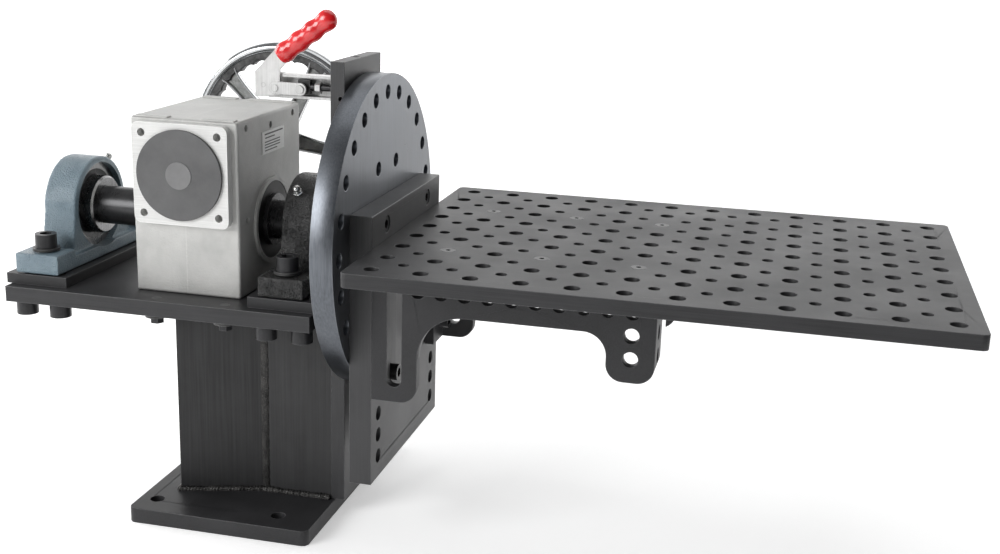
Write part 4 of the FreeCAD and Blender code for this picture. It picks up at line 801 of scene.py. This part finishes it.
def make_seam(name, ends, side, seed):
    """The upright weld where the straight and the splayed plate meet."""
    row_gap = 1.2 * MM
    half_wide, wide_spread = 5.6, 0.5
    crown, crown_spread = 1.9, 0.35
    lowest = -0.2 * MM
    root = 1.6 * MM
    count = 9
    chance = random.Random(seed)
    start, end = Vector(ends[0]), Vector(ends[1])
    rows = int((end - start).length / row_gap)
    verts = []
    for i in range(rows):
        point = start.lerp(end, i / (rows - 1))
        wide = (half_wide + chance.uniform(-wide_spread, wide_spread)) * MM
        for j in range(count):
            share = j / (count - 1) * 2 - 1
            unevenness = chance.uniform(-crown_spread, crown_spread)
            high = max((crown * (1 - share * share) + unevenness) * MM, lowest)
            verts.append(point + Vector((share * wide, side * high, 0)))
    faces = grid_faces(rows, count)
    a = len(verts)
    b, c, d = a + 1, a + 2, a + 3
    for i in (0, rows - 1):
        for j in (0, count - 1):
            verts.append(verts[i * count + j] - Vector((0, side * root, 0)))
    faces.append((a, b, d, c))
    faces.append((a, *range(count), b))
    faces.append((c, *range((rows - 1) * count, rows * count), d))
    faces.append((a, *range(0, rows * count, count), c))
    faces.append((b, *range(count - 1, rows * count, count), d))
    bead = new_piece(name, verts, faces, "stand", "weld", weld_metal)
    face_outwards(bead)
    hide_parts("weld_beads")


# ---- pillow block castings ---------------------------------------------------------------

def add_prism(work, outline, start, end, axis):
    """A closed prism from an outline of (a, b) points, pushed along X or Z."""
    rows = []
    for depth in (start, end):
        row = []
        for a, b in outline:
            place = (depth, a, b) if axis == "X" else (a, b, depth)
            row.append(work.verts.new(place))
        rows.append(row)
    count = len(outline)
    work.faces.new(list(reversed(rows[0])))
    work.faces.new(rows[1])
    for i in range(count):
        j = (i + 1) % count
        work.faces.new((rows[0][i], rows[0][j], rows[1][j], rows[1][i]))


def cylinder_outline(y, z, radius, steps=72):
    return [(y + radius * math.cos(math.tau * i / steps),
             z + radius * math.sin(math.tau * i / steps)) for i in range(steps)]


def solid_from(outlines, name):
    work = bmesh.new()
    for outline, start, end, axis in outlines:
        add_prism(work, outline, start, end, axis)
    bmesh.ops.recalc_face_normals(work, faces=work.faces)
    mesh = bpy.data.meshes.new(name)
    work.to_mesh(mesh)
    work.free()
    solid = bpy.data.objects.new(name, mesh)
    bpy.context.scene.collection.objects.link(solid)
    return solid


def settle(piece, name):
    """The piece's mesh with its modifiers worked in."""
    graph = bpy.context.evaluated_depsgraph_get()
    mesh = bpy.data.meshes.new_from_object(piece.evaluated_get(graph))
    mesh.name = name
    return mesh


def rectangle(x_low, x_high, y_low, y_high):
    return [(x_low, y_low), (x_high, y_low), (x_high, y_high), (x_low, y_high)]


def make_pillow_casting(node, material):
    """Foot, bolt bosses and arch run together as in a casting, then bored."""
    inset = 1.0 * MM
    foot_low, foot_high = 0.4 * MM, 15 * MM
    boss_from, boss_high, boss_long = 14 * MM, 23.4 * MM, 40 * MM
    arch_half = 20 * MM
    skirt_at_axis, skirt_at_waist, skirt_at_foot = -1.5 * MM, 7 * MM, 13 * MM
    waist_high = 18 * MM
    grain_size = 1.5 * MM
    bore_radius = 50.05 * MM
    low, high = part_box(node)
    cx = (low[0] + high[0]) / 2
    axis_z = middle("main_shaft").z
    base = low[2]
    arch = high[2] - axis_z
    x_low, x_high = low[0] + inset, high[0] - inset
    end = high[1] - inset
    boss_start = high[1] - boss_long
    foot = rectangle(x_low, x_high, -end, end)
    body = [(foot, base + foot_low, base + foot_high, "Z")]
    for y_low, y_high in ((-end, -boss_start), (boss_start, end)):
        body.append((rectangle(x_low, x_high, y_low, y_high), base + boss_from,
                     base + boss_high, "Z"))
    ring = cylinder_outline(0.0, axis_z, arch - inset)
    body.append((ring, cx - arch_half, cx + arch_half, "X"))
    one_side = [(arch + skirt_at_foot, base + boss_from),
                (arch + skirt_at_waist, base + waist_high), (arch + skirt_at_axis, axis_z)]
    skirt = [(-y, z) for y, z in reversed(one_side)] + one_side
    body.append((skirt, cx - arch_half, cx + arch_half, "X"))
    raw = solid_from(body, node + "_raw")
    remesh = raw.modifiers.new("run_together", "REMESH")
    remesh.mode = "VOXEL"
    remesh.voxel_size = grain_size
    soften = raw.modifiers.new("soften", "SMOOTH")
    soften.factor = 0.5
    soften.iterations = 7
    bore = solid_from([(cylinder_outline(0.0, axis_z, bore_radius, 120), cx - arch_half * 2,
                        cx + arch_half * 2, "X")], node + "_bore")
    cut = raw.modifiers.new("bore", "BOOLEAN")
    cut.operation = "DIFFERENCE"
    cut.object = bore
    cut.solver = "EXACT"
    mesh = settle(raw, node + "_casting")
    bpy.data.objects.remove(raw)
    bpy.data.objects.remove(bore)
    casting = bpy.data.objects.new(node + "_casting", mesh)
    bpy.context.scene.collection.objects.link(casting)
    mesh.materials.clear()
    mesh.materials.append(material)
    mesh.shade_smooth()
    sharpen(casting, 45)
    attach(casting, "stand")
    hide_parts(node)


# ---- small fittings ----------------------------------------------------------------------

def make_nipples():
    """Grease nipples: threaded foot, hexagon and ball tip, leaning out of each casting."""
    lean_angle = math.radians(45)
    off_middle = 5 * MM
    foot_radius = 55 * MM
    axis_z = middle("main_shaft").z
    for node, side in (("pillow_housing_left", 1), ("pillow_housing_right", -1)):
        lean = Vector((0.0, side * math.sin(lean_angle), math.cos(lean_angle)))
        foot = Vector((middle(node).x + off_middle * side, 0.0, axis_z)) + lean * foot_radius
        word = node.rsplit("_", 1)[1]
        shank = lathe("nipple_" + word, foot, lean,
                      [(0, 3.4), (4.5, 3.4), (8.0, 2.4), (11.0, 2.4), (11.6, 3.7),
                       (13.2, 4.3), (15.0, 4.0), (16.3, 2.8), (17.0, 1.3), (17.0, 0.5)],
                      "stand", "nipple_steel", bright_zinc, steps=28)
        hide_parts("grease_nipples")
        hexagon = lathe("nipple_hexagon_" + word, foot, lean,
                        [(3.6, 4.8), (4.2, 5.7), (7.6, 5.7), (8.2, 4.8)],
                        "stand", "nipple_steel", bright_zinc, steps=6, angle=20)
        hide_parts("grease_nipples")


def make_shields():
    """Pressed shields between the bearing rings, in place of the ball rows."""
    wide = 24.8
    inner, step, outer = 34.3, 36.5, 41.6
    press, dish = 0.3, 0.9
    axis_z = middle("main_shaft").z
    for node in ("pillow_housing_left", "pillow_housing_right"):
        word = node.rsplit("_", 1)[1]
        start = (middle(node).x - wide / 2 * MM, 0.0, axis_z)
        shield = lathe("bearing_shield_" + word, start, (1, 0, 0),
                       [(dish, inner), (press, step), (0, outer), (wide, outer),
                        (wide - press, step), (wide - dish, inner), (dish, inner)],
                       "stand", "bearing_steel", shield_black, steps=96, angle=30)
        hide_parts("bearing_balls")


def make_label_lines():
    """Plain dark bars on the blank label: start, end and height as shares, half thickness."""
    sunk, proud = 0.1 * MM, 0.08 * MM
    low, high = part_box("rating_plate")
    face = high[0]
    wide = high[1] - low[1]
    tall = high[2] - low[2]
    rows = ((0.10, 0.93, 0.86, 0.8), (0.12, 0.55, 0.70, 0.7), (0.10, 0.80, 0.52, 0.6),
            (0.10, 0.80, 0.40, 0.6), (0.10, 0.80, 0.28, 0.6), (0.10, 0.66, 0.15, 0.6))
    verts, faces = [], []
    for start, stop, height, half_thick in rows:
        first = len(verts)
        y0, y1 = low[1] + wide * start, low[1] + wide * stop
        z0 = low[2] + tall * height - half_thick * MM
        z1 = z0 + 2 * half_thick * MM
        for x in (face - sunk, face + proud):
            verts += [(x, y0, z0), (x, y1, z0), (x, y1, z1), (x, y0, z1)]
        for corners in BOX_FACES:
            faces.append(tuple(first + k for k in corners))
    bars = new_piece("label_bars", verts, faces, "stand", "dark_cap", label_ink,
                     smooth=False)
    face_outwards(bars)


def make_gearbox_lips():
    """Low machined lips along the top edges of the gearbox."""
    side_gap, left_gap, right_gap = 1 * MM, 5 * MM, 4 * MM
    front_deep, rear_deep = 11 * MM, 12 * MM
    front_left_long, front_right_long = 39 * MM, 38 * MM
    rear_left_long, rear_right_long = 45 * MM, 58 * MM
    sunk, proud = 1 * MM, 1.6 * MM
    edge_bevel = 1.2 * MM
    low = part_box("gearbox_half_left")[0]
    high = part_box("gearbox_half_right")[1]
    left = low[0] + left_gap
    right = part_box("rating_plate")[0][0] - right_gap
    top = high[2]
    front = (low[1] + side_gap, low[1] + front_deep)
    rear = (high[1] - rear_deep, high[1] - side_gap)
    lips = (("front_left", left, left + front_left_long, front),
            ("front_right", right - front_right_long, right, front),
            ("rear_left", left, left + rear_left_long, rear),
            ("rear_right", right - rear_right_long, right, rear))
    for word, x0, x1, (y0, y1) in lips:
        lip = box_piece("gearbox_lip_" + word, (x0, y0, top - sunk), (x1, y1, top + proud),
                        "stand", "cast_aluminium", sand_aluminium)
        soften = lip.modifiers.new("bevel", "BEVEL")
        soften.width = edge_bevel
        soften.segments = 3


def box_piece(name, low, high, body, slot, material):
    verts = [(x, y, z) for z in (low[2], high[2])
             for x, y in rectangle(low[0], high[0], low[1], high[1])]
    return new_piece(name, verts, BOX_FACES, body, slot, material, smooth=False)


def make_everything():
    set_camera()
    set_light()
    set_floor()
    dress_nodes()
    ease_edges()
    make_handwheel()
    make_grip()
    make_weld_beads()
    make_pillow_casting("pillow_housing_left", blue_cast)
    make_pillow_casting("pillow_housing_right", black_cast)
    make_nipples()
    make_shields()
    make_label_lines()
    make_gearbox_lips()


make_everything()
